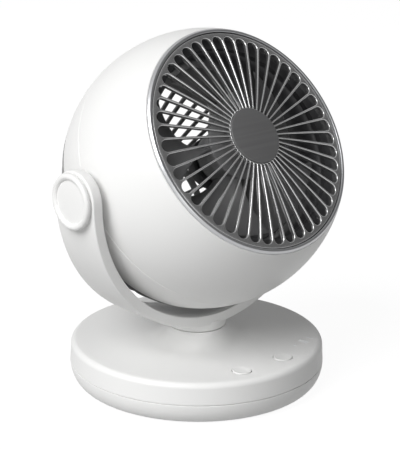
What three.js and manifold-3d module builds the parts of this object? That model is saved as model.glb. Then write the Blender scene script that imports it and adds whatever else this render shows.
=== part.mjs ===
// Desktop air circulator fan: a spherical head that tilts in a U-shaped yoke, which turns on a round base.
// Millimetres, +Z up, front of the fan towards -Y, origin at the centre of the underside, on the table.
import * as THREE from 'three';
import { mergeVertices } from 'three/addons/utils/BufferGeometryUtils.js';
import Module from 'manifold-3d';

const wasm = await Module();
wasm.setup();

// ---- Fits -------------------------------------------------------------------------------------------
const GAP = 0.3; // between pieces that touch or seat on each other
const SEAM = 0.3; // shut line between two casings
const RUN = 0.4; // around a piece that turns or slides
const SCREW_SHANK = 1.3;
const SCREW_HEAD = 2.7;
const SCREW_HEAD_HEIGHT = 1.2;
const COLUMN_RADIUS = 3.6; // round post that takes a screw
const COLUMN_WEB = 2; // reach of its web to the wall

// ---- Base -------------------------------------------------------------------------------------------
const BASE_RADIUS = 90;
const BASE_HEIGHT = 31.4;
const BASE_SEAM_HEIGHT = BASE_HEIGHT - 15.4;
const BASE_WALL = 2.4;
const BASE_SHOULDER = 4; // rounding between the flat top and the side
const BASE_DRAFT = 0.6; // how much the side leans in, from the seam to the shoulder
const PAN_FLAT_RADIUS = BASE_RADIUS - 10; // flat part of the underside
const PAN_CLEARANCE = 0.8; // height of the pan's rim above the table
const PAN_FLOOR = 4.2; // height of the inside floor
const PAN_LIP = 2.5; // how far the pan's lip reaches into the top shell
const PAD_RADIUS = BASE_RADIUS - 18;
const PAD_THICKNESS = 1.6;
const BASE_SCREW_LENGTH = 14;
const BASE_SCREW_CIRCLE = BASE_RADIUS - 24;
const BASE_SCREW_ANGLES = [62, 142, 218, 298]; // degrees from the front

const PEDESTAL_HEIGHT = 9.6; // trumpet foot that carries the turntable, above the flat top
const PEDESTAL_RADIUS = 20.9; // at its top, and of the yoke's foot above it
const PEDESTAL_SPREAD = 16; // how far the trumpet foot spreads

// ---- Turntable and its drive --------------------------------------------------------------------------
const SPINDLE_RADIUS = 10;
const SPINDLE_BORE = 3.2; // cable way through the spindle
const SPINDLE_FLANGE_RADIUS = 14.8;
const SPINDLE_FLANGE_THICKNESS = 1.8;
const SPINDLE_STUB_RADIUS = 6.5; // lower end, which carries the gear
const BUSH_WALL = 1.7;
const BEARING_TUBE_WALL = 2.4;
const BEARING_TUBE_BOTTOM = BASE_HEIGHT - 6.4;
const THRUST_WASHER_WIDTH = 5;
const THRUST_WASHER_THICKNESS = 1.3;
const GEAR_BOTTOM = BASE_HEIGHT - 13.2;
const GEAR_THICKNESS = 4.5;
const GEAR_HUB_RADIUS = 12;
const GEAR_MODULE = 1;
const GEAR_TEETH = 48; // of the full circle
const GEAR_SECTOR_TEETH = 14; // cut on the sector that meets the pinion
const PINION_TEETH = 12;
const TOOTH_ADDENDUM = 0.8;
const TOOTH_DEDENDUM = 1.2;
const TOOTH_BACKLASH = 0.4;
const TOOTH_SLOPE = 0.364; // tangent of the 20 degree pressure angle
const RETAINER_THICKNESS = 1.7;
const RETAINER_OUTER = 9;
const RETAINER_GROOVE = 5; // radius left in the groove
const RETAINER_MOUTH = 40; // half of its opening, in degrees
const SWING_MOTOR_RADIUS = 14;
const SWING_MOTOR_TOP = GEAR_BOTTOM - 1.6;
const SWING_MOTOR_EAR = 17.5; // from the motor's axis to each ear screw
const SWING_MOTOR_EAR_THICKNESS = 1;

// ---- Base insides -------------------------------------------------------------------------------------
const WEIGHT_INNER = 34;
const WEIGHT_OUTER = BASE_RADIUS - 30;
const WEIGHT_THICKNESS = 8;
const WEIGHT_HALF_ANGLE = 100;
const BOARD_INNER = BASE_RADIUS - 34;
const BOARD_OUTER = BASE_RADIUS - 5.5;
const BOARD_THICKNESS = 1.6;
const BOARD_TOP = BASE_HEIGHT - 7.8;
const BOARD_START = -25; // degrees from the front
const BOARD_END = 52;
const BOARD_POST_RADIUS = 2.5;
const BOARD_POST_CIRCLE = BASE_RADIUS - 30;
const BOARD_POST_ANGLES = [-18, 45];
const BUTTON_RADIUS = 6.5;
const BUTTON_CIRCLE = BASE_RADIUS - 18;
const BUTTON_ANGLES = [-16.9, 13.5];
const BUTTON_PROUD = 0.5;
const BUTTON_DISH = 0.5;
const BUTTON_FLANGE = 1.3; // how much wider and how thick its hidden flange is
const SWITCH_SIZE = 6;
const SWITCH_HEIGHT = 2.8;
const LAMP_DOT_RADIUS = 1.1;
const LAMP_DOT = [18.46, 32.846]; // inset from the rim, degrees from the front
const LAMP_BARS = [ // inset, degrees, length, width
  [13.71, 39.575, 7.5, 4.4],
  [9.1, 44.6, 6.5, 1.6],
];
const LAMP_BAR_ANGLE = -75;
const INLET_WIDTH = 8.9;
const INLET_HEIGHT = 3.2;
const INLET_DEPTH = 9;
const INLET_WALL = 0.45;
const INLET_CENTRE_HEIGHT = BASE_SEAM_HEIGHT + 5;
const INLET_TONGUE = [6.6, 0.7]; // width and thickness
const POWER_BOARD = [20, 20]; // width and depth
const POWER_POST_SPREAD = 7;

// ---- Yoke ---------------------------------------------------------------------------------------------
const HEAD_RADIUS = 95.5; // of the head's shell, across its axis
const HEAD_CLEARANCE = 5.1; // between the head and the arms of the yoke
const YOKE_THICKNESS = 7.5;
const YOKE_HALF_SPAN = HEAD_RADIUS + HEAD_CLEARANCE + YOKE_THICKNESS; // pivot centre to the outer face of an arm
const YOKE_DROP = YOKE_HALF_SPAN - 2.1; // pivot centre down to the outer face at the bottom
const YOKE_FOOT = 4.4; // height of the round foot under the bottom of the yoke
const PIVOT_HEIGHT = BASE_HEIGHT + PEDESTAL_HEIGHT + RUN + YOKE_FOOT + YOKE_DROP;
const YOKE_HALF_WIDTH = 20.3;
const YOKE_WALL = 2.2;
const YOKE_COVER = 1.6;
const YOKE_STEPS = 30;
const COLLAR_RADIUS = 18;
const COLLAR_PROUD = 0.9; // of the arm's outer face
const PIVOT_BOSS_RADIUS = 9;
const PIVOT_BOSS_INWARD = 2.1; // how far the boss stands in from the arm's inner face
const PIN_RADIUS = 4;
const PIN_HEAD_RADIUS = 6.5;
const PIN_HEAD_HEIGHT = 3.3;
const PIN_LENGTH = 17;
const PIN_BORE = 4.4;
const PIN_SEAT = 2.8; // depth of the head's recess below the arm's outer face
const WASHER_RADIUS = 11;
const WASHER_THICKNESS = 0.9;
const CAP_RADIUS = 19;
const CAP_ROLL = 2.3; // radius of the rounded ring
const CAP_DISC_DROP = 1.8; // disc below the top of the ring
const CAP_CROWN = 0.5;

// ---- Head: positions along its own axis are measured forward from the pivot -----------------------------
const REST_TILT = 33.5; // degrees up from level
const HEAD_HALF_LENGTH = HEAD_RADIUS + 4.7; // of the shell, along its axis
const HEAD_CENTRE = 6.1;
const HEAD_WALL = 2.4;
const SHELL_FRONT = 59.6;
const SHELL_MOUTH = HEAD_RADIUS * Math.sqrt(1 - ((SHELL_FRONT - HEAD_CENTRE) / HEAD_HALF_LENGTH) ** 2);
const SHELL_REAR = -31.5; // seam between the rear shell and the inlet grille
const SHELL_SEGMENTS = 36; // around every large turned body
const SEAT_INNER = SHELL_MOUTH - 11.25; // ledge that the grille seats on
const SEAT_FRONT = 53;
const SEAT_THICKNESS = 2.5;
const HUB_RADIUS = 12; // pivot hubs, clamped between the two shells
const HUB_FLANGE_RADIUS = 15;
const HUB_FLANGE_THICKNESS = 2.5;
const HUB_INNER_END = HEAD_RADIUS - 7.7; // distance of the hub's ends from the middle plane
const HUB_OUTER_END = HEAD_RADIUS + 1.5;
const SHELL_SCREW_CIRCLE = HEAD_RADIUS - 8.1;
const SHELL_SCREW_ANGLES = [45, 135, 225, 315];
const SHELL_SCREW_LENGTH = 20;
const SHELL_COLUMN_FRONT = 18;
const SHELL_COLUMN_REAR = 12;

const RING_OUTER = SHELL_MOUTH - 0.45;
const RING_SLEEVE = RING_OUTER - 2.2;
const RING_INNER = RING_SLEEVE - 0.8;
const RING_FRONT = 62;
const RING_CHAMFER = 1.4;

const GRILLE_RADIUS = RING_INNER - 0.6;
const GRILLE_CROWN = 67; // front of the dome at its centre
const GRILLE_DOME = 510; // radius of the dome
const GRILLE_DEPTH = 2.8;
const GRILLE_HUB_FLOOR = 2.2; // under the cap
const GRILLE_SLOTS = 45;
const GRILLE_PHASE = 2; // degrees that the ribs are turned from +X
const SLOT_INNER = 20.95; // centre of a slot's inner end
const SLOT_OUTER = GRILLE_RADIUS - 6.9;
const SLOT_INNER_HALF = 0.95; // half of a slot's width at its inner end
const SLOT_OUTER_HALF = 4;
const FLANGE_INNER = SEAT_INNER - 1.2; // thin flange behind the grille, with a spigot in the ledge's bore
const FLANGE_THICKNESS = 1.1;
const HUB_CAP_RADIUS = 19.35;
const HUB_CAP_THICKNESS = 2.6;
const HUB_CAP_PROUD = 0.5;

const DUCT_RADIUS = SEAT_INNER - 4;
const DUCT_WALL = 1.8;
const DUCT_REAR = 20;
const DUCT_FLARE = 9; // length of the flared mouth
const DUCT_LIP = 1.8; // thickness of its flat rim
const DUCT_LUG_RADIUS = SEAT_INNER + 7.5;
const DUCT_LUG_THICKNESS = 4.5;
const DUCT_SCREW_CIRCLE = SEAT_INNER + 2.8;
const DUCT_SCREW_ANGLES = [-59, 31, 121, 211];
const DUCT_SCREW_LENGTH = 6.5;
const LUG_HALF_WIDTH = 5;

const INLET_RIBS = 52;
const INLET_PHASE = 4.3; // degrees that the ribs are turned from +X
const INLET_THICKNESS = 3;
const INLET_RIB_WIDTH = 2.6;
const INLET_RIB_START = -34;
const INLET_RING_OUTER = HEAD_RADIUS - 37.5; // middle ring
const INLET_RING_INNER = INLET_RING_OUTER - 4;
const INLET_PLATE = 29; // closed centre
const INLET_SPIGOT = 6;

// ---- Fan motor and impeller -----------------------------------------------------------------------------
const MOTOR_RADIUS = 14.5;
const MOTOR_WALL = 1;
const MOTOR_REAR = 14;
const MOTOR_FRONT = 38;
const MOTOR_END = 2;
const STATOR_INNER = 9.6;
const ROTOR_RADIUS = 9;
const STATOR_REAR = 18.5;
const STATOR_FRONT = 33;
const SHAFT_RADIUS = 2;
const SHAFT_FRONT = 54;
const MOTOR_BEARING_RADIUS = 4.5;
const BRACKET_DEPTH = 8;
const BRACKET_WALL = 3.2;
const BRACKET_ARM_WIDTH = 6;
const BRACKET_ARMS = [30, 150, 270];
const BRACKET_LUG_RADIUS = DUCT_RADIUS + 8.5;
const BRACKET_LUG_THICKNESS = 6;
const BLADE_COUNT = 5;
const BLADE_TIP = DUCT_RADIUS - 3;
const BLADE_ROOT = 17.2;
const BLADE_FRONT = 48;
const BLADE_REAR = 24;
const BLADE_THICKNESS = 1.6;
const BLADE_FIRST_ANGLE = 124; // front tip corner of the first blade, in degrees
const BLADE_FRONT_SWEEP = 0.55; // degrees that the front edge falls back per mm from the tip
const BLADE_REAR_SWEEP = 0.94;
const BLADE_TIP_ARC = 78; // degrees covered by a blade at its tip
const BLADE_ROWS = 5;
const BLADE_COLUMNS = 5;
const IMPELLER_HUB = [ // radius and position of the hub's outside, front to rear
  [24, 47.4],
  [19.5, 40],
  [18, 34],
  [17.6, 24],
];
const IMPELLER_WALL = 1.6;
const IMPELLER_NOSE = 50;
const IMPELLER_BOSS_RADIUS = 6;
const IMPELLER_BOSS_REAR = 40.5;
const NUT_RADIUS = 5;
const NUT_HEIGHT = 4;

// ---- Colours --------------------------------------------------------------------------------------------
const FINISHES = {
  white_plastic: { color: 0xf1f1ef, roughness: 0.42, metalness: 0 },
  dark_plastic: { color: 0x59595b, roughness: 0.5, metalness: 0 },
  silver_trim: { color: 0xc4c5c7, roughness: 0.3, metalness: 0.8 },
  lamp_plastic: { color: 0xdfe3e6, roughness: 0.25, metalness: 0 },
  rubber: { color: 0x3b3b3d, roughness: 0.85, metalness: 0 },
  steel: { color: 0x9a9da1, roughness: 0.35, metalness: 0.9 },
  nylon: { color: 0xe6e2d6, roughness: 0.55, metalness: 0 },
  board: { color: 0x1f5a3a, roughness: 0.6, metalness: 0 },
  motor_metal: { color: 0x777a7e, roughness: 0.4, metalness: 0.8 },
};

// ---- Geometry helpers -----------------------------------------------------------------------------------
const radians = (degrees) => (degrees * Math.PI) / 180;

// Merges shared vertices, drops flat triangles and turns the faces outwards.
function closed(geometry) {
  const bare = geometry.clone();
  bare.deleteAttribute('normal');
  bare.deleteAttribute('uv');
  const merged = mergeVertices(bare, 1e-4);
  const position = merged.attributes.position;
  const index = merged.index.array;
  const kept = [];
  const corner = [new THREE.Vector3(), new THREE.Vector3(), new THREE.Vector3()];
  let volume = 0;
  for (let i = 0; i < index.length; i += 3) {
    const [a, b, c] = [index[i], index[i + 1], index[i + 2]];
    if (a === b || b === c || c === a) continue;
    kept.push(a, b, c);
    corner.forEach((v, k) => v.fromBufferAttribute(position, index[i + k]));
    volume += corner[0].dot(corner[1].clone().cross(corner[2]));
  }
  if (volume < 0) kept.reverse();
  const result = new THREE.BufferGeometry();
  result.setAttribute('position', position);
  result.setIndex(kept);
  return result;
}

function toSolid(geometry) {
  const shape = closed(geometry);
  return new wasm.Manifold(new wasm.Mesh({
    numProp: 3,
    vertProperties: new Float32Array(shape.attributes.position.array),
    triVerts: new Uint32Array(shape.index.array),
  }));
}

function fromSolid(solid) {
  const { vertProperties, triVerts } = solid.getMesh();
  const geometry = new THREE.BufferGeometry();
  geometry.setAttribute('position', new THREE.BufferAttribute(new Float32Array(vertProperties), 3));
  geometry.setIndex(new THREE.BufferAttribute(new Uint32Array(triVerts), 1));
  return geometry;
}

const join = (first, ...rest) => fromSolid(rest.reduce((a, b) => a.add(toSolid(b)), toSolid(first)));
const cut = (first, ...rest) => fromSolid(rest.reduce((a, b) => a.subtract(toSolid(b)), toSolid(first)));
const common = (first, second) => fromSolid(toSolid(first).intersect(toSolid(second)));

// A body turned about Z from a list of [radius, height] points.
function turned(points, segments = SHELL_SEGMENTS) {
  const profile = points.map(([r, z]) => new THREE.Vector2(r, z));
  return new THREE.LatheGeometry(profile, segments).rotateX(Math.PI / 2);
}

const rod = (radius, z0, z1, segments = 24) =>
  turned([[0, z0], [radius, z0], [radius, z1], [0, z1]], segments);

const tube = (inner, outer, z0, z1, segments = 24) =>
  turned([[inner, z0], [outer, z0], [outer, z1], [inner, z1], [inner, z0]], segments);

function plate(outline, z0, z1, holes = []) {
  const shape = new THREE.Shape(outline.map(([x, y]) => new THREE.Vector2(x, y)));
  holes.forEach((hole) => shape.holes.push(new THREE.Path(hole.map(([x, y]) => new THREE.Vector2(x, y)))));
  const geometry = new THREE.ExtrudeGeometry(shape, { depth: z1 - z0, bevelEnabled: false });
  return geometry.translate(0, 0, z0);
}

const block = (x0, x1, y0, y1, z0, z1) =>
  new THREE.BoxGeometry(x1 - x0, y1 - y0, z1 - z0).translate((x0 + x1) / 2, (y0 + y1) / 2, (z0 + z1) / 2);

// Point on a circle; degrees are counted from the front (-Y) towards +X.
const fromFront = (radius, degrees) =>
  [radius * Math.sin(radians(degrees)), -radius * Math.cos(radians(degrees))];

const polar = (radius, degrees) => [radius * Math.cos(radians(degrees)), radius * Math.sin(radians(degrees))];

function movedTo(geometry, [x, y], z = 0) {
  return geometry.clone().translate(x, y, z);
}

// Lays a body that was built along +Z along +X (side 1) or -X (side -1).
const sideways = (geometry, side) => geometry.clone().rotateY((side * Math.PI) / 2);

// Part of a flat ring between two angles counted from the front.
function ringSector(inner, outer, start, end, z0, z1, steps = 16) {
  const angles = Array.from({ length: steps + 1 }, (_, i) => start + ((end - start) * i) / steps);
  const outline = angles.map((a) => fromFront(outer, a));
  outline.push(...angles.reverse().map((a) => fromFront(inner, a)));
  return plate(outline, z0, z1);
}

// Screw with its head down (side -1) or up (side 1); headSeat is the height of the face its head bears on.
function screw(headSeat, length, side) {
  const tip = headSeat - side * length;
  const top = headSeat + side * SCREW_HEAD_HEIGHT;
  const points = [[0, tip], [SCREW_SHANK, tip], [SCREW_SHANK, headSeat]];
  points.push([SCREW_HEAD, headSeat], [SCREW_HEAD, top], [0, top]);
  return turned(points, 6);
}

// ---- Assembly -------------------------------------------------------------------------------------------
const fan = new THREE.Group();
const yokeGroup = new THREE.Group();
const headGroup = new THREE.Group();
yokeGroup.position.z = PIVOT_HEIGHT;
headGroup.rotation.x = Math.PI / 2 - radians(REST_TILT);
yokeGroup.add(headGroup);
fan.add(yokeGroup);

function piece(group, name, finish, geometry) {
  const mesh = new THREE.Mesh(closed(geometry), new THREE.MeshStandardMaterial(FINISHES[finish]));
  mesh.geometry.computeVertexNormals();
  mesh.name = name;
  group.add(mesh);
}

// Several like pieces, numbered from 1.
function set(group, name, finish, geometries) {
  geometries.forEach((geometry, i) => piece(group, `${name}_${i + 1}`, finish, geometry));
}

// ---- Base pieces ----------------------------------------------------------------------------------------
const bearingTubeInner = SPINDLE_RADIUS + RUN + BUSH_WALL + GAP;
const bearingTubeOuter = bearingTubeInner + BEARING_TUBE_WALL;
const pedestalTop = BASE_HEIGHT + PEDESTAL_HEIGHT;
const baseCeiling = BASE_HEIGHT - BASE_WALL;
const screwBore = SCREW_SHANK + GAP;
const axleToPinion = (GEAR_MODULE * (GEAR_TEETH + PINION_TEETH)) / 2;

function ellipseArc(centreR, centreZ, semiR, semiZ, from, to, steps) {
  return Array.from({ length: steps + 1 }, (_, i) => {
    const a = radians(from + ((to - from) * i) / steps);
    return [centreR + semiR * Math.cos(a), centreZ + semiZ * Math.sin(a)];
  });
}

// Light pipes between two heights, or the holes for them when a clearance is given.
function lightPipes(bottom, top, clearance) {
  const [dotInset, dotAngle] = LAMP_DOT;
  const dot = movedTo(rod(LAMP_DOT_RADIUS + clearance, bottom, top, 12), fromFront(BASE_RADIUS - dotInset, dotAngle));
  const bars = LAMP_BARS.map(([inset, angle, length, width]) => {
    const [l, w] = [length / 2 + clearance, width / 2 + clearance];
    return movedTo(block(-l, l, -w, w, bottom, top).rotateZ(radians(LAMP_BAR_ANGLE)),
      fromFront(BASE_RADIUS - inset, angle));
  });
  return [dot, ...bars];
}

function baseTopShell() {
  const flareCentre = PEDESTAL_RADIUS + PEDESTAL_SPREAD;
  const shoulderR = BASE_RADIUS - BASE_DRAFT - BASE_SHOULDER;
  const shoulderZ = BASE_HEIGHT - BASE_SHOULDER;
  const bottom = BASE_SEAM_HEIGHT + SEAM / 2;
  const innerSpread = PEDESTAL_SPREAD + BASE_WALL;
  const innerRise = PEDESTAL_HEIGHT + BASE_WALL;
  const points = [
    [bearingTubeInner, pedestalTop],
    ...ellipseArc(flareCentre, pedestalTop, PEDESTAL_SPREAD, PEDESTAL_HEIGHT, 180, 270, 5),
    ...ellipseArc(shoulderR, shoulderZ, BASE_SHOULDER, BASE_SHOULDER, 90, 0, 3),
    [BASE_RADIUS, bottom],
    [BASE_RADIUS - BASE_WALL, bottom],
    [shoulderR + BASE_SHOULDER - BASE_WALL, shoulderZ],
    [shoulderR, baseCeiling],
    ...ellipseArc(flareCentre, pedestalTop, innerSpread, innerRise, 270, 195, 2),
    [bearingTubeOuter, pedestalTop - innerRise * Math.sin(radians(15))],
    [bearingTubeOuter, BEARING_TUBE_BOTTOM],
    [bearingTubeInner, BEARING_TUBE_BOTTOM],
    [bearingTubeInner, pedestalTop],
  ];
  const columns = BASE_SCREW_ANGLES.map((angle) =>
    movedTo(rod(COLUMN_RADIUS, PAN_FLOOR + GAP, baseCeiling + 1, 12), fromFront(BASE_SCREW_CIRCLE, angle)));
  const posts = BOARD_POST_ANGLES.map((angle) =>
    movedTo(rod(BOARD_POST_RADIUS, BOARD_TOP + GAP, baseCeiling + 1, 8), fromFront(BOARD_POST_CIRCLE, angle)));
  const bores = BASE_SCREW_ANGLES.map((angle) =>
    movedTo(rod(screwBore, 0, baseCeiling - 6, 10), fromFront(BASE_SCREW_CIRCLE, angle)));
  const buttonHoles = BUTTON_ANGLES.map((angle) =>
    movedTo(rod(BUTTON_RADIUS + RUN, baseCeiling - 1, BASE_HEIGHT + 1, 18), fromFront(BUTTON_CIRCLE, angle)));
  const w = INLET_WIDTH / 2 + GAP;
  const h = INLET_HEIGHT / 2 + GAP;
  const inletHole = block(-w, w, BASE_RADIUS - INLET_DEPTH, BASE_RADIUS + 1,
    INLET_CENTRE_HEIGHT - h, INLET_CENTRE_HEIGHT + h);
  const shell = join(turned(points), ...columns, ...posts);
  return cut(shell, ...bores, ...buttonHoles, ...lightPipes(baseCeiling - 1, BASE_HEIGHT + 1, GAP), inletHole);
}

function baseBottomPan() {
  const top = BASE_SEAM_HEIGHT - SEAM / 2;
  const lipOuter = BASE_RADIUS - BASE_WALL - GAP;
  const lipInner = lipOuter - BASE_WALL + GAP;
  const outerRise = top - PAN_CLEARANCE;
  const innerRise = top - PAN_FLOOR;
  const outerSpread = BASE_RADIUS - PAN_FLAT_RADIUS;
  const recess = PAD_THICKNESS + GAP;
  const points = [
    [0, recess],
    [PAD_RADIUS + GAP, recess],
    [PAD_RADIUS + GAP, PAN_CLEARANCE],
    ...ellipseArc(PAN_FLAT_RADIUS, top, outerSpread, outerRise, -90, 0, 4),
    [lipOuter, top],
    [lipOuter, top + PAN_LIP],
    [lipInner, top + PAN_LIP],
    ...ellipseArc(PAN_FLAT_RADIUS, top, lipInner - PAN_FLAT_RADIUS, innerRise, 0, -90, 2),
    [0, PAN_FLOOR],
  ];
  const earPosts = [-SWING_MOTOR_EAR, SWING_MOTOR_EAR].map((x) =>
    movedTo(rod(COLUMN_RADIUS - 0.6, PAN_FLOOR - 1, SWING_MOTOR_TOP - SWING_MOTOR_EAR_THICKNESS - GAP, 8),
      [x, axleToPinion]));
  const powerPosts = [-POWER_POST_SPREAD, POWER_POST_SPREAD].map((x) =>
    movedTo(rod(BOARD_POST_RADIUS, PAN_FLOOR - 1, powerBoardTop() - BOARD_THICKNESS - GAP, 10),
      [x, powerBoardRear() - POWER_BOARD[1] + 2 * BOARD_POST_RADIUS]));
  const screwHoles = BASE_SCREW_ANGLES.flatMap((angle) => {
    const at = fromFront(BASE_SCREW_CIRCLE, angle);
    const seat = recess + SCREW_HEAD_HEIGHT + GAP;
    return [movedTo(rod(SCREW_HEAD + GAP, 0, seat, 12), at), movedTo(rod(screwBore, 0, PAN_FLOOR + 1, 8), at)];
  });
  return cut(join(turned(points), ...earPosts, ...powerPosts), ...screwHoles);
}

function baseScrews() {
  const seat = PAD_THICKNESS + GAP + SCREW_HEAD_HEIGHT;
  return BASE_SCREW_ANGLES.map((angle) => movedTo(screw(seat, BASE_SCREW_LENGTH, -1), fromFront(BASE_SCREW_CIRCLE, angle)));
}

const powerBoardTop = () => INLET_CENTRE_HEIGHT - INLET_HEIGHT / 2 - GAP;
const powerBoardRear = () => BASE_RADIUS - BASE_WALL - BASE_WALL - 2 * GAP - 1;

function powerInlet() {
  const [w, h] = [INLET_WIDTH / 2, INLET_HEIGHT / 2];
  const corner = 0.9;
  const outline = (inset) => {
    const [a, b, c] = [w - inset, h - inset, corner];
    return [[a - c, -b], [a, -b + c], [a, b - c], [a - c, b], [-a + c, b], [-a, b - c], [-a, -b + c], [-a + c, -b]];
  };
  const body = plate(outline(0), 0, INLET_DEPTH);
  const mouth = plate(outline(INLET_WALL), 1, INLET_DEPTH + 1);
  const [tongueWidth, tongueThickness] = INLET_TONGUE;
  const tongue = block(-tongueWidth / 2, tongueWidth / 2, -tongueThickness / 2, tongueThickness / 2,
    0.5, INLET_DEPTH - 1);
  const front = BASE_RADIUS - BASE_DRAFT;
  return join(cut(body, mouth), tongue).rotateX(-Math.PI / 2)
    .translate(0, front - INLET_DEPTH, INLET_CENTRE_HEIGHT);
}

function tactileSwitches() {
  const s = SWITCH_SIZE / 2;
  const bottom = BOARD_TOP + GAP;
  return BUTTON_ANGLES.map((angle) =>
    movedTo(block(-s, s, -s, s, bottom, BOARD_TOP + SWITCH_HEIGHT), fromFront(BUTTON_CIRCLE, angle)));
}

function button(angle) {
  const top = BASE_HEIGHT + BUTTON_PROUD;
  const flangeTop = baseCeiling - RUN;
  const rim = BUTTON_RADIUS - 1;
  const points = [
    [0, flangeTop - BUTTON_FLANGE],
    [BUTTON_RADIUS + BUTTON_FLANGE, flangeTop - BUTTON_FLANGE],
    [BUTTON_RADIUS + BUTTON_FLANGE, flangeTop],
    [BUTTON_RADIUS, flangeTop],
    [BUTTON_RADIUS, top],
    [rim, top],
    [0, top - BUTTON_DISH],
  ];
  return movedTo(turned(points, 18), fromFront(BUTTON_CIRCLE, angle));
}

// Outline of a toothed wheel, counter-clockwise; teeth are cut only where toothed() says so.
function toothedOutline(teeth, phase, toothed, plainRadius) {
  const pitch = (GEAR_MODULE * teeth) / 2;
  const root = pitch - TOOTH_DEDENDUM;
  const tip = pitch + TOOTH_ADDENDUM;
  const half = ((Math.PI * GEAR_MODULE) / 2 - TOOTH_BACKLASH) / 2;
  const rootHalf = half + TOOTH_DEDENDUM * TOOTH_SLOPE;
  const tipHalf = half - TOOTH_ADDENDUM * TOOTH_SLOPE;
  const points = [];
  for (let i = 0; i < teeth; i += 1) {
    const centre = phase + (360 / teeth) * i;
    if (toothed(i)) {
      const corners = [[root, -rootHalf], [tip, -tipHalf], [tip, tipHalf], [root, rootHalf]];
      corners.forEach(([r, t]) => points.push(polar(r, centre + (t / r) * (180 / Math.PI))));
    } else if (i % 2 === 0) {
      points.push(polar(plainRadius, centre));
    }
  }
  return points;
}

function circlePath(radius, steps = 20) {
  return Array.from({ length: steps }, (_, i) => polar(radius, (-360 / steps) * i));
}

function oscillationGear() {
  const pitch = 360 / GEAR_TEETH;
  const firstTooth = 90 + pitch / 2 - (pitch * GEAR_SECTOR_TEETH) / 2;
  const outline = toothedOutline(GEAR_TEETH, firstTooth, (i) => i < GEAR_SECTOR_TEETH, GEAR_HUB_RADIUS);
  return plate(outline, GEAR_BOTTOM, GEAR_BOTTOM + GEAR_THICKNESS, [circlePath(SPINDLE_STUB_RADIUS + GAP)]);
}

function oscillationPinion() {
  const outline = toothedOutline(PINION_TEETH, -90, () => true, 0);
  const bottom = SWING_MOTOR_TOP + GAP;
  const wheel = plate(outline, GEAR_BOTTOM - GAP, GEAR_BOTTOM + GEAR_THICKNESS + GAP);
  const collar = rod(SPINDLE_BORE - 0.8, bottom, GEAR_BOTTOM, 16);
  return movedTo(join(wheel, collar), [0, axleToPinion]);
}

function oscillationMotor() {
  const can = rod(SWING_MOTOR_RADIUS, PAN_FLOOR + GAP, SWING_MOTOR_TOP, 20);
  const reach = SWING_MOTOR_EAR + COLUMN_RADIUS;
  const ears = block(-reach, reach, -COLUMN_RADIUS, COLUMN_RADIUS,
    SWING_MOTOR_TOP - SWING_MOTOR_EAR_THICKNESS, SWING_MOTOR_TOP);
  return movedTo(join(can, ears), [0, axleToPinion]);
}

function spindleBush() {
  const inner = SPINDLE_RADIUS + RUN;
  return tube(inner, inner + BUSH_WALL, BEARING_TUBE_BOTTOM + GAP, pedestalTop, 18);
}

function thrustWasher() {
  const inner = bearingTubeInner;
  const bottom = pedestalTop + GAP;
  return tube(inner, inner + THRUST_WASHER_WIDTH, bottom, bottom + THRUST_WASHER_THICKNESS, 18);
}

function counterweight() {
  const bottom = PAN_FLOOR + GAP;
  return ringSector(WEIGHT_INNER, WEIGHT_OUTER, -WEIGHT_HALF_ANGLE, WEIGHT_HALF_ANGLE,
    bottom, bottom + WEIGHT_THICKNESS, 20);
}

function controlBoard() {
  return ringSector(BOARD_INNER, BOARD_OUTER, BOARD_START, BOARD_END, BOARD_TOP - BOARD_THICKNESS, BOARD_TOP, 10);
}

function powerBoard() {
  const [width, depth] = POWER_BOARD;
  const top = powerBoardTop();
  return block(-width / 2, width / 2, powerBoardRear() - depth, powerBoardRear(), top - BOARD_THICKNESS, top);
}

// ---- Yoke pieces ----------------------------------------------------------------------------------------
const footBottom = pedestalTop + RUN;
const footFloor = PIVOT_HEIGHT - YOKE_DROP + YOKE_WALL; // flat pocket that takes the spindle's flange
const washerRecessTop = pedestalTop + THRUST_WASHER_THICKNESS + 2 * GAP;
const gearTop = GEAR_BOTTOM + GEAR_THICKNESS;
const yokeInnerFace = YOKE_HALF_SPAN - YOKE_THICKNESS;
const bossFace = yokeInnerFace - PIVOT_BOSS_INWARD;
const collarFace = YOKE_HALF_SPAN + COLLAR_PROUD;
const pinSeat = YOKE_HALF_SPAN - PIN_SEAT;
const SIDES = [['left', -1], ['right', 1]];

// The U-shaped band between two depths under its outer face, with round ends about the pivots.
function yokeBand(outerDepth, innerDepth, halfWidth) {
  const edge = (depth) => {
    const [a, b] = [YOKE_HALF_SPAN - depth, YOKE_DROP - depth];
    return [[-a, halfWidth + 1], ...ellipseArc(0, 0, a, b, 180, 360, YOKE_STEPS), [a, halfWidth + 1]];
  };
  const outline = [...edge(outerDepth), ...edge(innerDepth).reverse()];
  const band = plate(outline, -halfWidth - 1, halfWidth + 1).rotateX(Math.PI / 2);
  const ends = [[-halfWidth, -2 * YOKE_DROP], [halfWidth, -2 * YOKE_DROP]];
  ends.push(...ellipseArc(0, 0, halfWidth, halfWidth, 0, 180, 16));
  const reach = 2 * YOKE_HALF_SPAN;
  const slab = plate(ends, -reach, reach).rotateX(Math.PI / 2).rotateZ(Math.PI / 2);
  return common(band, slab);
}

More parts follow.
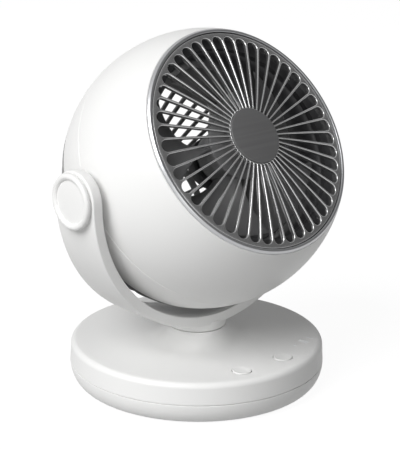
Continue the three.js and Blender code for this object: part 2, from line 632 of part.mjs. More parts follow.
function yokeOuterShell() {
  const lift = (geometry) => geometry.translate(0, 0, -PIVOT_HEIGHT);
  const channel = cut(yokeBand(0, YOKE_THICKNESS, YOKE_HALF_WIDTH),
    yokeBand(YOKE_WALL, YOKE_THICKNESS + 1, YOKE_HALF_WIDTH - YOKE_WALL));
  const added = [lift(rod(PEDESTAL_RADIUS - 0.2, footBottom, footFloor - 0.1, 36))];
  const removed = [
    lift(rod(SPINDLE_RADIUS + GAP, footBottom - 1, footFloor + 1, 24)),
    lift(rod(SPINDLE_FLANGE_RADIUS + GAP, footFloor, footFloor + YOKE_THICKNESS, 24)),
    lift(rod(bearingTubeInner + THRUST_WASHER_WIDTH + GAP, footBottom - 1, washerRecessTop, 24)),
  ];
  SIDES.forEach(([, side]) => {
    const outer = YOKE_HALF_SPAN - YOKE_WALL / 2;
    added.push(sideways(rod(PIVOT_BOSS_RADIUS, bossFace, outer, 16), side));
    added.push(sideways(rod(COLLAR_RADIUS, outer, collarFace, 28), side));
    removed.push(sideways(rod(PIN_BORE, bossFace - 1, collarFace + 1, 12), side));
    removed.push(sideways(rod(PIN_HEAD_RADIUS + GAP, pinSeat, collarFace + 1, 16), side));
  });
  return cut(join(channel, ...added), ...removed);
}

function yokeInnerCover() {
  const band = yokeBand(YOKE_THICKNESS - YOKE_COVER, YOKE_THICKNESS, YOKE_HALF_WIDTH - YOKE_WALL - GAP);
  const holes = SIDES.map(([, side]) =>
    sideways(rod(PIVOT_BOSS_RADIUS + GAP, bossFace, YOKE_HALF_SPAN, 16), side));
  return cut(band, ...holes);
}

function turntableSpindle() {
  const clipTop = GEAR_BOTTOM - GAP / 2;
  const clipBottom = GEAR_BOTTOM - RETAINER_THICKNESS - 2 * GAP;
  const flangeBottom = footFloor + GAP;
  const flangeTop = flangeBottom + SPINDLE_FLANGE_THICKNESS;
  const end = clipBottom - 1.5;
  return turned([
    [SPINDLE_BORE, end],
    [SPINDLE_STUB_RADIUS, end],
    [SPINDLE_STUB_RADIUS, clipBottom],
    [RETAINER_GROOVE, clipBottom],
    [RETAINER_GROOVE, clipTop],
    [SPINDLE_STUB_RADIUS, clipTop],
    [SPINDLE_STUB_RADIUS, gearTop + GAP],
    [SPINDLE_RADIUS, gearTop + GAP],
    [SPINDLE_RADIUS, flangeBottom],
    [SPINDLE_FLANGE_RADIUS, flangeBottom],
    [SPINDLE_FLANGE_RADIUS, flangeTop],
    [SPINDLE_BORE, flangeTop],
    [SPINDLE_BORE, end],
  ], 18);
}

function retainingClip() {
  const top = GEAR_BOTTOM - GAP;
  return ringSector(RETAINER_GROOVE + GAP, RETAINER_OUTER, RETAINER_MOUTH, 360 - RETAINER_MOUTH,
    top - RETAINER_THICKNESS, top);
}

function pivotPin(side) {
  const seat = pinSeat + GAP;
  const shape = turned([[0, seat - PIN_LENGTH], [PIN_RADIUS, seat - PIN_LENGTH], [PIN_RADIUS, seat],
    [PIN_HEAD_RADIUS, seat], [PIN_HEAD_RADIUS, seat + PIN_HEAD_HEIGHT], [0, seat + PIN_HEAD_HEIGHT]], 12);
  return sideways(shape, side);
}

// Cap with a raised round ring about a shallow dished disc.
function pivotCap(side) {
  const back = collarFace + GAP;
  const rollZ = back + COLLAR_PROUD;
  const top = rollZ + CAP_ROLL;
  const disc = top - CAP_DISC_DROP;
  const meet = (Math.asin((disc - rollZ) / CAP_ROLL) * 180) / Math.PI;
  const shape = turned([
    [0, back],
    [CAP_RADIUS, back],
    ...ellipseArc(CAP_RADIUS - CAP_ROLL, rollZ, CAP_ROLL, CAP_ROLL, 0, 180 - meet, 4),
    [0, disc + CAP_CROWN],
  ], 24);
  return sideways(shape, side);
}

function frictionWasher(side) {
  const outer = bossFace - GAP;
  return sideways(tube(PIN_BORE, WASHER_RADIUS, outer - WASHER_THICKNESS, outer, 16), side);
}

// ---- Head pieces, built along the head's own axis ---------------------------------------------------------
const onEllipse = (radius, half, z) => radius * Math.sqrt(Math.max(0, 1 - ((z - HEAD_CENTRE) / half) ** 2));
const shellOutside = (z, inset = 0) => onEllipse(HEAD_RADIUS - inset, HEAD_HALF_LENGTH - inset, z);
const shellInside = (z) => shellOutside(z, HEAD_WALL);
const between = (from, to, steps) => Array.from({ length: steps + 1 }, (_, i) => from + ((to - from) * i) / steps);
const domeHeight = (radius) => GRILLE_CROWN - (radius * radius) / (2 * GRILLE_DOME);
const sleeveBore = RING_SLEEVE + GAP;

function pivotHub(side) {
  const flangeEnd = HUB_INNER_END + HUB_FLANGE_THICKNESS;
  const shape = turned([[PIN_BORE, HUB_INNER_END], [HUB_FLANGE_RADIUS, HUB_INNER_END], [HUB_FLANGE_RADIUS, flangeEnd],
    [HUB_RADIUS, flangeEnd], [HUB_RADIUS, HUB_OUTER_END], [PIN_BORE, HUB_OUTER_END], [PIN_BORE, HUB_INNER_END]], 20);
  return sideways(shape, side);
}

const hubNotches = () => SIDES.map(([, side]) =>
  sideways(rod(HUB_RADIUS + GAP, HUB_INNER_END - 10, HUB_OUTER_END + 5, 20), side));

// Screw posts on the inside of a shell, each with a web to the wall.
function shellColumns(z0, z1) {
  return SHELL_SCREW_ANGLES.map((angle) => {
    const web = block(0, COLUMN_RADIUS + COLUMN_WEB, -COLUMN_RADIUS / 2, COLUMN_RADIUS / 2, z0, z1);
    const post = join(rod(COLUMN_RADIUS, z0, z1, 12), web);
    return movedTo(post.rotateZ(radians(angle)), polar(SHELL_SCREW_CIRCLE, angle));
  });
}

const shellBores = (z0, z1) => SHELL_SCREW_ANGLES.map((angle) =>
  movedTo(rod(screwBore, z0, z1, 8), polar(SHELL_SCREW_CIRCLE, angle)));

function frontShell() {
  const start = SEAM / 2;
  const ledgeRear = SEAT_FRONT - SEAT_THICKNESS;
  const outside = between(start, SHELL_FRONT, 6).map((z) => [shellOutside(z), z]);
  const inside = between(ledgeRear, start, 4).map((z) => [shellInside(z), z]);
  const points = [
    ...outside,
    [sleeveBore, SHELL_FRONT],
    [sleeveBore, SHELL_FRONT - 1.3],
    [shellInside(SEAT_FRONT), SEAT_FRONT],
    [SEAT_INNER, SEAT_FRONT],
    [SEAT_INNER, ledgeRear],
    ...inside,
    outside[0],
  ];
  const ductHoles = DUCT_SCREW_ANGLES.map((angle) =>
    movedTo(rod(screwBore, ledgeRear - 1, SEAT_FRONT + 1, 8), polar(DUCT_SCREW_CIRCLE, angle)));
  const shell = join(turned(points), ...shellColumns(start, SHELL_COLUMN_FRONT));
  return cut(shell, ...hubNotches(), ...shellBores(-1, SHELL_COLUMN_FRONT - 4), ...ductHoles);
}

function rearShell() {
  const start = -SEAM / 2;
  const outside = between(start, SHELL_REAR, 3).map((z) => [shellOutside(z), z]);
  const inside = between(SHELL_REAR, start, 3).map((z) => [shellInside(z), z]);
  const shell = join(turned([...outside, ...inside, outside[0]]), ...shellColumns(-SHELL_COLUMN_REAR, start));
  return cut(shell, ...hubNotches(), ...shellBores(-SHELL_COLUMN_REAR - 1, 1));
}

function shellScrews() {
  return SHELL_SCREW_ANGLES.map((angle) =>
    movedTo(screw(-SHELL_COLUMN_REAR - GAP, SHELL_SCREW_LENGTH, -1), polar(SHELL_SCREW_CIRCLE, angle)));
}

function trimRing() {
  const lip = SHELL_FRONT + GAP;
  return turned([
    [RING_INNER, SEAT_FRONT + GAP],
    [RING_SLEEVE, SEAT_FRONT + GAP],
    [RING_SLEEVE, lip],
    [RING_OUTER, lip],
    [RING_OUTER - 0.15, RING_FRONT - RING_CHAMFER],
    [RING_OUTER - RING_CHAMFER, RING_FRONT],
    [RING_INNER, RING_FRONT],
    [RING_INNER, SEAT_FRONT + GAP],
  ], 36);
}

// Long slot that widens outwards, with round ends, along +X.
function slotOutline() {
  const outer = ellipseArc(SLOT_OUTER, 0, SLOT_OUTER_HALF, SLOT_OUTER_HALF, -90, 90, 5);
  const inner = ellipseArc(SLOT_INNER, 0, SLOT_INNER_HALF, SLOT_INNER_HALF, 90, 270, 2);
  return [...outer, ...inner];
}

function frontGrille() {
  const rimRear = SEAT_FRONT + GAP;
  const flangeFront = rimRear + FLANGE_THICKNESS;
  const slotEnd = SLOT_OUTER + SLOT_OUTER_HALF;
  const middle = (SLOT_INNER + SLOT_OUTER) / 2;
  const rimInner = slotEnd + 0.3;
  const rear = (radius) => domeHeight(radius) - GRILLE_DEPTH;
  const recess = HUB_CAP_RADIUS + GAP;
  const recessFloor = GRILLE_CROWN + HUB_CAP_PROUD - HUB_CAP_THICKNESS - GAP;
  const body = turned([
    [0, recessFloor - GRILLE_HUB_FLOOR],
    [recess - 1, recessFloor - GRILLE_HUB_FLOOR],
    [recess, rear(recess)],
    [middle, rear(middle)],
    [rimInner, rear(rimInner)],
    [rimInner, flangeFront],
    [FLANGE_INNER, flangeFront],
    [FLANGE_INNER, SEAT_FRONT - SEAT_THICKNESS],
    [SEAT_INNER - GAP, SEAT_FRONT - SEAT_THICKNESS],
    [SEAT_INNER - GAP, rimRear],
    [GRILLE_RADIUS, rimRear],
    [GRILLE_RADIUS, domeHeight(slotEnd) - 0.4],
    [slotEnd, domeHeight(slotEnd)],
    [middle, domeHeight(middle)],
    [recess, domeHeight(recess)],
    [recess, recessFloor],
    [0, recessFloor],
  ], GRILLE_SLOTS).rotateZ(-Math.PI / 2);
  const pitch = 360 / GRILLE_SLOTS;
  const slot = plate(slotOutline(), flangeFront, GRILLE_CROWN + 5);
  const slots = Array.from({ length: GRILLE_SLOTS }, (_, i) =>
    slot.clone().rotateZ(radians(pitch * (i + 0.5))));
  const holes = DUCT_SCREW_ANGLES.map((angle) =>
    movedTo(rod(screwBore, rimRear - 1, flangeFront + 0.5, 8), polar(DUCT_SCREW_CIRCLE, angle)));
  return cut(cut(body, ...slots).rotateZ(radians(GRILLE_PHASE)), ...holes);
}

function hubCap() {
  const face = GRILLE_CROWN + HUB_CAP_PROUD;
  const rear = face - HUB_CAP_THICKNESS;
  return turned([[0, rear], [HUB_CAP_RADIUS, rear], [HUB_CAP_RADIUS, face - 0.3], [HUB_CAP_RADIUS - 0.3, face],
    [0, face]], 30);
}

const ductFront = SEAT_FRONT - SEAT_THICKNESS - GAP;
const lug = (inner, outer, halfWidth, z0, z1, angle) =>
  block(inner, outer, -halfWidth, halfWidth, z0, z1).rotateZ(radians(angle));

function airDuct() {
  const flareStart = ductFront - DUCT_FLARE;
  const flareWidth = SEAT_INNER - DUCT_RADIUS;
  const outside = DUCT_RADIUS + DUCT_WALL;
  const flare = ellipseArc(SEAT_INNER, flareStart, flareWidth, DUCT_FLARE, 180, 90, 3);
  const points = [
    [DUCT_RADIUS, DUCT_REAR],
    ...flare,
    [SEAT_INNER + DUCT_LIP, ductFront],
    [SEAT_INNER + DUCT_LIP, ductFront - DUCT_LIP],
    [outside + flareWidth * 0.4, ductFront - 0.3 * DUCT_FLARE],
    [outside, flareStart + 0.2 * DUCT_FLARE],
    [outside, DUCT_REAR],
    [DUCT_RADIUS, DUCT_REAR],
  ];
  const frontLugs = DUCT_SCREW_ANGLES.map((angle) =>
    lug(SEAT_INNER + 0.2, DUCT_LUG_RADIUS, LUG_HALF_WIDTH, ductFront - DUCT_LUG_THICKNESS, ductFront, angle));
  const rearLugs = BRACKET_ARMS.map((angle) =>
    lug(outside - 1, BRACKET_LUG_RADIUS, LUG_HALF_WIDTH, DUCT_REAR, DUCT_REAR + BRACKET_LUG_THICKNESS, angle));
  const holes = DUCT_SCREW_ANGLES.map((angle) =>
    movedTo(rod(screwBore, ductFront - 10, ductFront + 1, 8), polar(DUCT_SCREW_CIRCLE, angle)));
  return cut(join(turned(points), ...frontLugs, ...rearLugs), ...holes);
}

function ductScrews() {
  const seat = ductFront - DUCT_LUG_THICKNESS - GAP;
  return DUCT_SCREW_ANGLES.map((angle) =>
    movedTo(screw(seat, DUCT_SCREW_LENGTH, -1), polar(DUCT_SCREW_CIRCLE, angle)));
}

const bracketFront = DUCT_REAR - GAP;
const bracketRear = bracketFront - BRACKET_DEPTH;

// Cup for the motor, carried by three arms on the rear of the duct.
function motorBracket() {
  const inner = MOTOR_RADIUS + GAP;
  const outer = inner + BRACKET_WALL;
  const floor = MOTOR_REAR - GAP;
  const cup = turned([[MOTOR_BEARING_RADIUS + 1, bracketRear], [outer, bracketRear], [outer, bracketFront],
    [inner, bracketFront], [inner, floor], [MOTOR_BEARING_RADIUS + 1, floor],
    [MOTOR_BEARING_RADIUS + 1, bracketRear]], 18);
  const arms = BRACKET_ARMS.map((angle) =>
    lug(outer - 1, BRACKET_LUG_RADIUS, BRACKET_ARM_WIDTH / 2, bracketRear, bracketFront, angle));
  const pads = BRACKET_ARMS.map((angle) =>
    lug(DUCT_RADIUS, BRACKET_LUG_RADIUS, LUG_HALF_WIDTH, bracketRear, bracketFront, angle));
  return join(cup, ...arms, ...pads);
}

function motorHousing() {
  const inner = MOTOR_RADIUS - MOTOR_WALL;
  const bore = MOTOR_BEARING_RADIUS + GAP;
  return turned([[bore, MOTOR_REAR], [MOTOR_RADIUS, MOTOR_REAR], [MOTOR_RADIUS, MOTOR_FRONT],
    [inner, MOTOR_FRONT], [inner, MOTOR_REAR + MOTOR_END], [bore, MOTOR_REAR + MOTOR_END], [bore, MOTOR_REAR]], 18);
}

function motorEndCap() {
  return tube(MOTOR_BEARING_RADIUS + GAP, MOTOR_RADIUS - MOTOR_WALL - GAP, MOTOR_FRONT - MOTOR_END, MOTOR_FRONT, 18);
}

const motorBearing = (z0) => tube(SHAFT_RADIUS + GAP, MOTOR_BEARING_RADIUS, z0, z0 + MOTOR_END, 12);

function motorStator() {
  return tube(STATOR_INNER, MOTOR_RADIUS - MOTOR_WALL - GAP, STATOR_REAR, STATOR_FRONT, 18);
}

function motorRotor() {
  return tube(SHAFT_RADIUS + GAP, ROTOR_RADIUS, STATOR_REAR, STATOR_FRONT, 14);
}

const motorShaft = () => rod(SHAFT_RADIUS, MOTOR_REAR, SHAFT_FRONT, 16);

function hubOutside(z) {
  const i = Math.max(1, IMPELLER_HUB.findIndex(([, height]) => height <= z));
  const [[r0, z0], [r1, z1]] = [IMPELLER_HUB[i - 1], IMPELLER_HUB[i]];
  return r0 + ((r1 - r0) * (z - z0)) / (z1 - z0);
}

// One blade: from its front edge it falls back, turning ahead more at the tip than at the root.
function blade() {
  const root = (z) => hubOutside(Math.min(z, IMPELLER_HUB[0][1])) - IMPELLER_WALL / 2;
  const middle = (u, s) => {
    const z = BLADE_FRONT + (BLADE_REAR - BLADE_FRONT) * s;
    const r = root(z) + (BLADE_TIP - root(z)) * u;
    const inward = BLADE_TIP - r;
    const front = BLADE_FIRST_ANGLE - BLADE_FRONT_SWEEP * inward;
    const rear = BLADE_FIRST_ANGLE - BLADE_TIP_ARC + BLADE_REAR_SWEEP * inward;
    const [x, y] = polar(r, front + (rear - front) * s);
    return new THREE.Vector3(x, y, z);
  };
  const STEP = 1e-3;
  const point = (u, s, side) => {
    const alongSpan = middle(u + STEP, s).sub(middle(u - STEP, s));
    const alongDepth = middle(u, s + STEP).sub(middle(u, s - STEP));
    const normal = alongSpan.cross(alongDepth).normalize();
    return middle(u, s).addScaledVector(normal, (side * BLADE_THICKNESS) / 2);
  };
  const across = BLADE_COLUMNS + 1;
  const sheet = (BLADE_ROWS + 1) * across;
  const positions = [];
  [1, -1].forEach((side) => {
    for (let i = 0; i <= BLADE_ROWS; i += 1) {
      for (let j = 0; j <= BLADE_COLUMNS; j += 1) {
        positions.push(...point(i / BLADE_ROWS, j / BLADE_COLUMNS, side).toArray());
      }
    }
  });
  const faces = [];
  const quad = (a, b, c, d) => faces.push(a, b, c, a, c, d);
  for (let i = 0; i < BLADE_ROWS; i += 1) {
    for (let j = 0; j < BLADE_COLUMNS; j += 1) {
      const k = i * across + j;
      quad(k, k + across, k + across + 1, k + 1);
      quad(sheet + k, sheet + k + 1, sheet + k + across + 1, sheet + k + across);
    }
  }
  const rim = [];
  for (let j = 0; j < BLADE_COLUMNS; j += 1) rim.push(j);
  for (let i = 0; i < BLADE_ROWS; i += 1) rim.push(i * across + BLADE_COLUMNS);
  for (let j = BLADE_COLUMNS; j > 0; j -= 1) rim.push(BLADE_ROWS * across + j);
  for (let i = BLADE_ROWS; i > 0; i -= 1) rim.push(i * across);
  rim.forEach((k, i) => {
    const next = rim[(i + 1) % rim.length];
    quad(k, next, sheet + next, sheet + k);
  });
  const geometry = new THREE.BufferGeometry();
  geometry.setAttribute('position', new THREE.BufferAttribute(new Float32Array(positions), 3));
  geometry.setIndex(faces);
  return geometry;
}

function impeller() {
  const bore = SHAFT_RADIUS + GAP;
  const outside = IMPELLER_HUB;
  const inside = outside.slice(1).reverse().map(([r, z]) => [r - IMPELLER_WALL, z]);
  const [edgeRadius, edgeHeight] = outside[0];
  const hub = turned([
    [bore, IMPELLER_NOSE],
    [edgeRadius * 0.6, IMPELLER_NOSE - 0.4],
    ...outside,
    ...inside,
    [edgeRadius - 2 * IMPELLER_WALL, edgeHeight - IMPELLER_WALL],
    [IMPELLER_BOSS_RADIUS, edgeHeight],
    [IMPELLER_BOSS_RADIUS, IMPELLER_BOSS_REAR],
    [bore, IMPELLER_BOSS_REAR],
    [bore, IMPELLER_NOSE],
  ], 20);
  const blades = Array.from({ length: BLADE_COUNT }, (_, i) => blade().rotateZ(radians((360 / BLADE_COUNT) * i)));
  return join(hub, ...blades);
}

function impellerNut() {
  const rear = IMPELLER_NOSE + GAP;
  return cut(rod(NUT_RADIUS, rear, rear + NUT_HEIGHT, 6), rod(SHAFT_RADIUS + GAP, rear - 1, rear + NUT_HEIGHT + 1, 16));
}

// Inlet grille that carries the ball shape round to the back: ribs, a middle ring and a closed centre.
function rearGrille() {
  const start = SHELL_REAR - SEAM;
  const spigotOuter = shellInside(SHELL_REAR) - 2 * GAP;
  const onSphere = (radius, inset) => {
    const across = HEAD_RADIUS - inset;
    return HEAD_CENTRE - (HEAD_HALF_LENGTH - inset) * Math.sqrt(1 - (radius / across) ** 2);
  };
  const ribRadius = shellOutside(INLET_RIB_START);
  const radii = [ribRadius, ...between(ribRadius, INLET_RING_OUTER, 2).slice(1), INLET_PLATE, 0];
  const outside = radii.map((r) => [r, onSphere(r, 0)]);
  const inside = [0, INLET_RING_OUTER].map((r) => [r, onSphere(r, INLET_THICKNESS)]);
  const body = turned([
    [shellOutside(start), start],
    ...outside,
    ...inside,
    [spigotOuter - HEAD_WALL, start - 1],
    [spigotOuter - HEAD_WALL, start + INLET_SPIGOT],
    [spigotOuter, start + INLET_SPIGOT],
    [spigotOuter, start],
    [shellOutside(start), start],
  ], INLET_RIBS / 2).rotateZ(radians(180 / INLET_RIBS) - Math.PI / 2);
  const half = INLET_RIB_WIDTH / 2;
  const window = (count, inner, outer) => {
    const pitch = 360 / count;
    const corner = (radius, side) => {
      const angle = side * (radians(pitch / 2) - Math.asin(half / radius));
      return [radius * Math.cos(angle), radius * Math.sin(angle)];
    };
    const outline = [corner(inner, -1), corner(outer, -1), corner(outer, 1), corner(inner, 1)];
    const cutter = plate(outline, HEAD_CENTRE - HEAD_HALF_LENGTH - 5, start - 1);
    return Array.from({ length: count }, (_, i) => cutter.clone().rotateZ(radians(pitch * (i + 0.5))));
  };
  return cut(body, ...window(INLET_RIBS, INLET_RING_OUTER, ribRadius - INLET_RIB_WIDTH / 2),
    ...window(INLET_RIBS / 4, INLET_PLATE, INLET_RING_INNER)).rotateZ(radians(INLET_PHASE));
}

// ---- The scene ------------------------------------------------------------------------------------------
piece(fan, 'base_top_shell', 'white_plastic', baseTopShell());
piece(fan, 'base_bottom_pan', 'white_plastic', baseBottomPan());
piece(fan, 'non_slip_pad', 'rubber', rod(PAD_RADIUS, 0, PAD_THICKNESS, SHELL_SEGMENTS));
set(fan, 'base_screw', 'steel', baseScrews());
piece(fan, 'counterweight', 'steel', counterweight());
piece(fan, 'control_board', 'board', controlBoard());
piece(fan, 'power_board', 'board', powerBoard());
piece(fan, 'power_inlet', 'steel', powerInlet());
set(fan, 'indicator_lens', 'lamp_plastic', lightPipes(BOARD_TOP + GAP, BASE_HEIGHT, 0));
tactileSwitches().forEach((geometry, i) => piece(fan, `tactile_switch_${SIDES[i][0]}`, 'dark_plastic', geometry));
BUTTON_ANGLES.forEach((angle, i) => piece(fan, `push_button_${SIDES[i][0]}`, 'white_plastic', button(angle)));
piece(fan, 'swing_motor', 'motor_metal', oscillationMotor());
piece(fan, 'swing_pinion', 'nylon', oscillationPinion());
piece(fan, 'spindle_bush', 'nylon', spindleBush());
piece(fan, 'thrust_washer', 'nylon', thrustWasher());
piece(fan, 'turntable_spindle', 'nylon', turntableSpindle());
piece(fan, 'sector_gear', 'nylon', oscillationGear());
piece(fan, 'retaining_clip', 'steel', retainingClip());

piece(yokeGroup, 'yoke_outer_shell', 'white_plastic', yokeOuterShell());
piece(yokeGroup, 'yoke_inner_cover', 'white_plastic', yokeInnerCover());
SIDES.forEach(([name, side]) => {
  piece(yokeGroup, `pivot_pin_${name}`, 'steel', pivotPin(side));
  piece(yokeGroup, `pivot_cap_${name}`, 'white_plastic', pivotCap(side));
  piece(yokeGroup, `friction_washer_${name}`, 'rubber', frictionWasher(side));
  piece(headGroup, `pivot_hub_${name}`, 'white_plastic', pivotHub(side));
});

piece(headGroup, 'front_shell', 'white_plastic', frontShell());
piece(headGroup, 'rear_shell', 'white_plastic', rearShell());
set(headGroup, 'shell_screw', 'steel', shellScrews());
piece(headGroup, 'trim_ring', 'silver_trim', trimRing());
piece(headGroup, 'front_grille', 'dark_plastic', frontGrille());
piece(headGroup, 'hub_cap', 'dark_plastic', hubCap());
piece(headGroup, 'air_duct', 'dark_plastic', airDuct());
set(headGroup, 'duct_screw', 'steel', ductScrews());
piece(headGroup, 'motor_bracket', 'dark_plastic', motorBracket());
piece(headGroup, 'motor_housing', 'motor_metal', motorHousing());
piece(headGroup, 'motor_end_cap', 'motor_metal', motorEndCap());
piece(headGroup, 'motor_stator', 'motor_metal', motorStator());
piece(headGroup, 'motor_bearing_rear', 'steel', motorBearing(MOTOR_REAR));
piece(headGroup, 'motor_bearing_front', 'steel', motorBearing(MOTOR_FRONT - MOTOR_END));
piece(headGroup, 'motor_shaft', 'steel', motorShaft());
piece(headGroup, 'motor_rotor', 'steel', motorRotor());
piece(headGroup, 'impeller', 'dark_plastic', impeller());
piece(headGroup, 'impeller_nut', 'steel', impellerNut());
piece(headGroup, 'rear_grille', 'dark_plastic', rearGrille());

export default fan;
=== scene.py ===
import math

import bmesh
import bpy
import numpy as np
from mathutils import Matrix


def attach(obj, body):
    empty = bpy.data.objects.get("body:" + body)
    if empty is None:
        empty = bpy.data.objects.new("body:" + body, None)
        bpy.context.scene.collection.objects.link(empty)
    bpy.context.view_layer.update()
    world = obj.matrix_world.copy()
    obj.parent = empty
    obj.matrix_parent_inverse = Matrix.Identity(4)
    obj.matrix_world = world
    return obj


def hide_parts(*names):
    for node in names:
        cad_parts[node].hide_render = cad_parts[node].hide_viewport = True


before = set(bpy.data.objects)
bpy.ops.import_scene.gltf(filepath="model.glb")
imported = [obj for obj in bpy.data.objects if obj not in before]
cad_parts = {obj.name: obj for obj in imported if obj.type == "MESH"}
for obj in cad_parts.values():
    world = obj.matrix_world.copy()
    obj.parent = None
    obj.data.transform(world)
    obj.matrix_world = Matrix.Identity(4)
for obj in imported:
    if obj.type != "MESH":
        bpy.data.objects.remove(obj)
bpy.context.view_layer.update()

# ---- Camera -----------------------------------------------------------------------------------------
# The camera stands in front of the fan, to its left and a little above it, about 1.1 m away, with a long
# lens and a slight roll. Place, angles and lens were fitted to the rims of the base, the ring, the hub and
# the ball.
camera_azimuth = math.radians(-42.2)
camera_elevation = math.radians(17.7)
camera_roll = 0.009
camera_data = bpy.data.cameras.new("camera")
camera_data.sensor_width = 36
camera_data.lens = 129.1
camera = bpy.data.objects.new("camera", camera_data)
bpy.context.scene.collection.objects.link(camera)
bpy.context.scene.camera = camera
back = np.array([math.sin(camera_azimuth) * math.cos(camera_elevation),
                 -math.cos(camera_azimuth) * math.cos(camera_elevation),
                 math.sin(camera_elevation)])
level = np.cross([0, 0, 1], back)
level /= np.linalg.norm(level)
upright = np.cross(back, level)
rightwards = level * math.cos(camera_roll) + upright * math.sin(camera_roll)
upwards = upright * math.cos(camera_roll) - level * math.sin(camera_roll)
camera_matrix = np.eye(4)
camera_matrix[:3, 0] = rightwards
camera_matrix[:3, 1] = upwards
camera_matrix[:3, 2] = back
camera_matrix[:3, 3] = (-0.7189, -0.7953, 0.4555)
camera.matrix_world = camera_matrix.T.tolist()
bpy.context.scene.view_settings.view_transform = "Standard"

# ---- Light ------------------------------------------------------------------------------------------
# One large soft lamp from the upper left, a weak low one from the front, and a pale grey room all round.
# The camera and polished faces see the room at full strength, and the light it gives is much weaker.
lamps = [("key", (-2.25, -0.25, 2.1), 2.3, 97), ("fill", (-1.5, -2.3, 0.45), 1.6, 12)]
aim = np.array([0, 0, 0.12])
for lamp_name, lamp_place, lamp_size, lamp_power in lamps:
    lamp_data = bpy.data.lights.new(lamp_name, "AREA")
    lamp_data.shape = "DISK"
    lamp_data.size = lamp_size
    lamp_data.energy = lamp_power
    lamp = bpy.data.objects.new(lamp_name, lamp_data)
    bpy.context.scene.collection.objects.link(lamp)
    away = np.array(lamp_place) - aim
    away /= np.linalg.norm(away)
    across = np.cross([0, 0, 1], away)
    across /= np.linalg.norm(across)
    lamp_matrix = np.eye(4)
    lamp_matrix[:3, 0] = across
    lamp_matrix[:3, 1] = np.cross(away, across)
    lamp_matrix[:3, 2] = away
    lamp_matrix[:3, 3] = lamp_place
    lamp.matrix_world = lamp_matrix.T.tolist()


def seen_directly(nodes, links):
    """Socket that is 1 for rays from the camera, a mirror or glass, and 0 for the rays that carry light."""
    path = nodes.new("ShaderNodeLightPath")
    total = path.outputs["Is Camera Ray"]
    for kind in ("Is Glossy Ray", "Is Transmission Ray"):
        add = nodes.new("ShaderNodeMath")
        add.operation = "MAXIMUM"
        links.new(total, add.inputs[0])
        links.new(path.outputs[kind], add.inputs[1])
        total = add.outputs[0]
    return total


room_light = 0.2
room = bpy.data.worlds.new("room")
room.use_nodes = True
bpy.context.scene.world = room
room_nodes, room_links = room.node_tree.nodes, room.node_tree.links
room_nodes.clear()
strength = room_nodes.new("ShaderNodeMapRange")
strength.inputs["To Min"].default_value = room_light
strength.inputs["To Max"].default_value = 1
room_links.new(seen_directly(room_nodes, room_links), strength.inputs["Value"])
glow = room_nodes.new("ShaderNodeBackground")
room_links.new(strength.outputs["Result"], glow.inputs["Strength"])
room_out = room_nodes.new("ShaderNodeOutputWorld")
room_links.new(glow.outputs[0], room_out.inputs["Surface"])

# ---- Floor ------------------------------------------------------------------------------------------
# A large pale sheet under the fan. To the camera it is almost white by itself, so only the soft shadow of
# the base shows on it.
floor_colour = 0.38
floor_glow = 0.94
floor_shade = 0.14
floor_reach = 6.0
floor_mesh = bpy.data.meshes.new("floor")
sheet_corners = ((-1, -1), (1, -1), (1, 1), (-1, 1))
floor_points = [(x * floor_reach, y * floor_reach, 0.0) for x, y in sheet_corners]
floor_mesh.from_pydata(floor_points, [], [(0, 1, 2, 3)])
floor = bpy.data.objects.new("floor", floor_mesh)
bpy.context.scene.collection.objects.link(floor)
floor_material = bpy.data.materials.new("pale_floor")
floor_material.use_nodes = True
floor_nodes, floor_links = floor_material.node_tree.nodes, floor_material.node_tree.links
floor_nodes.clear()
matt = floor_nodes.new("ShaderNodeBsdfDiffuse")
matt.inputs["Color"].default_value = (floor_colour, floor_colour, floor_colour, 1)
dim = floor_nodes.new("ShaderNodeBsdfDiffuse")
dim.inputs["Color"].default_value = (floor_shade, floor_shade, floor_shade, 1)
white = floor_nodes.new("ShaderNodeEmission")
white.inputs["Strength"].default_value = floor_glow
both = floor_nodes.new("ShaderNodeAddShader")
floor_links.new(dim.outputs[0], both.inputs[0])
floor_links.new(white.outputs[0], both.inputs[1])
choose = floor_nodes.new("ShaderNodeMixShader")
floor_links.new(seen_directly(floor_nodes, floor_links), choose.inputs[0])
floor_links.new(matt.outputs[0], choose.inputs[1])
floor_links.new(both.outputs[0], choose.inputs[2])
floor_out = floor_nodes.new("ShaderNodeOutputMaterial")
floor_links.new(choose.outputs[0], floor_out.inputs["Surface"])
floor_mesh.materials.append(floor_material)

# ---- Grey card --------------------------------------------------------------------------------------
# A dull grey sheet out of the picture, up to the right in front of the fan, where the camera sees it
# mirrored in the flat face of the grille. The round edges of the ribs mirror the pale room beside it.
card_place = np.array([1.62, -1.41, 1.5])
card_half = 1.25
card_tone = 0.16
card_face = aim - card_place
card_face /= np.linalg.norm(card_face)
card_level = np.cross([0, 0, 1], card_face)
card_level /= np.linalg.norm(card_level)
card_upright = np.cross(card_face, card_level)
card_mesh = bpy.data.meshes.new("grey_card")
card_points = [tuple(card_place + card_half * (card_level * a + card_upright * b)) for a, b in sheet_corners]
card_mesh.from_pydata(card_points, [], [(0, 1, 2, 3)])
card = bpy.data.objects.new("grey_card", card_mesh)
bpy.context.scene.collection.objects.link(card)
card_material = bpy.data.materials.new("grey_card")
card_material.use_nodes = True
card_nodes, card_links = card_material.node_tree.nodes, card_material.node_tree.links
card_nodes.clear()
grey = card_nodes.new("ShaderNodeEmission")
grey.inputs["Strength"].default_value = card_tone
card_out = card_nodes.new("ShaderNodeOutputMaterial")
card_links.new(grey.outputs[0], card_out.inputs["Surface"])
card_mesh.materials.append(card_material)


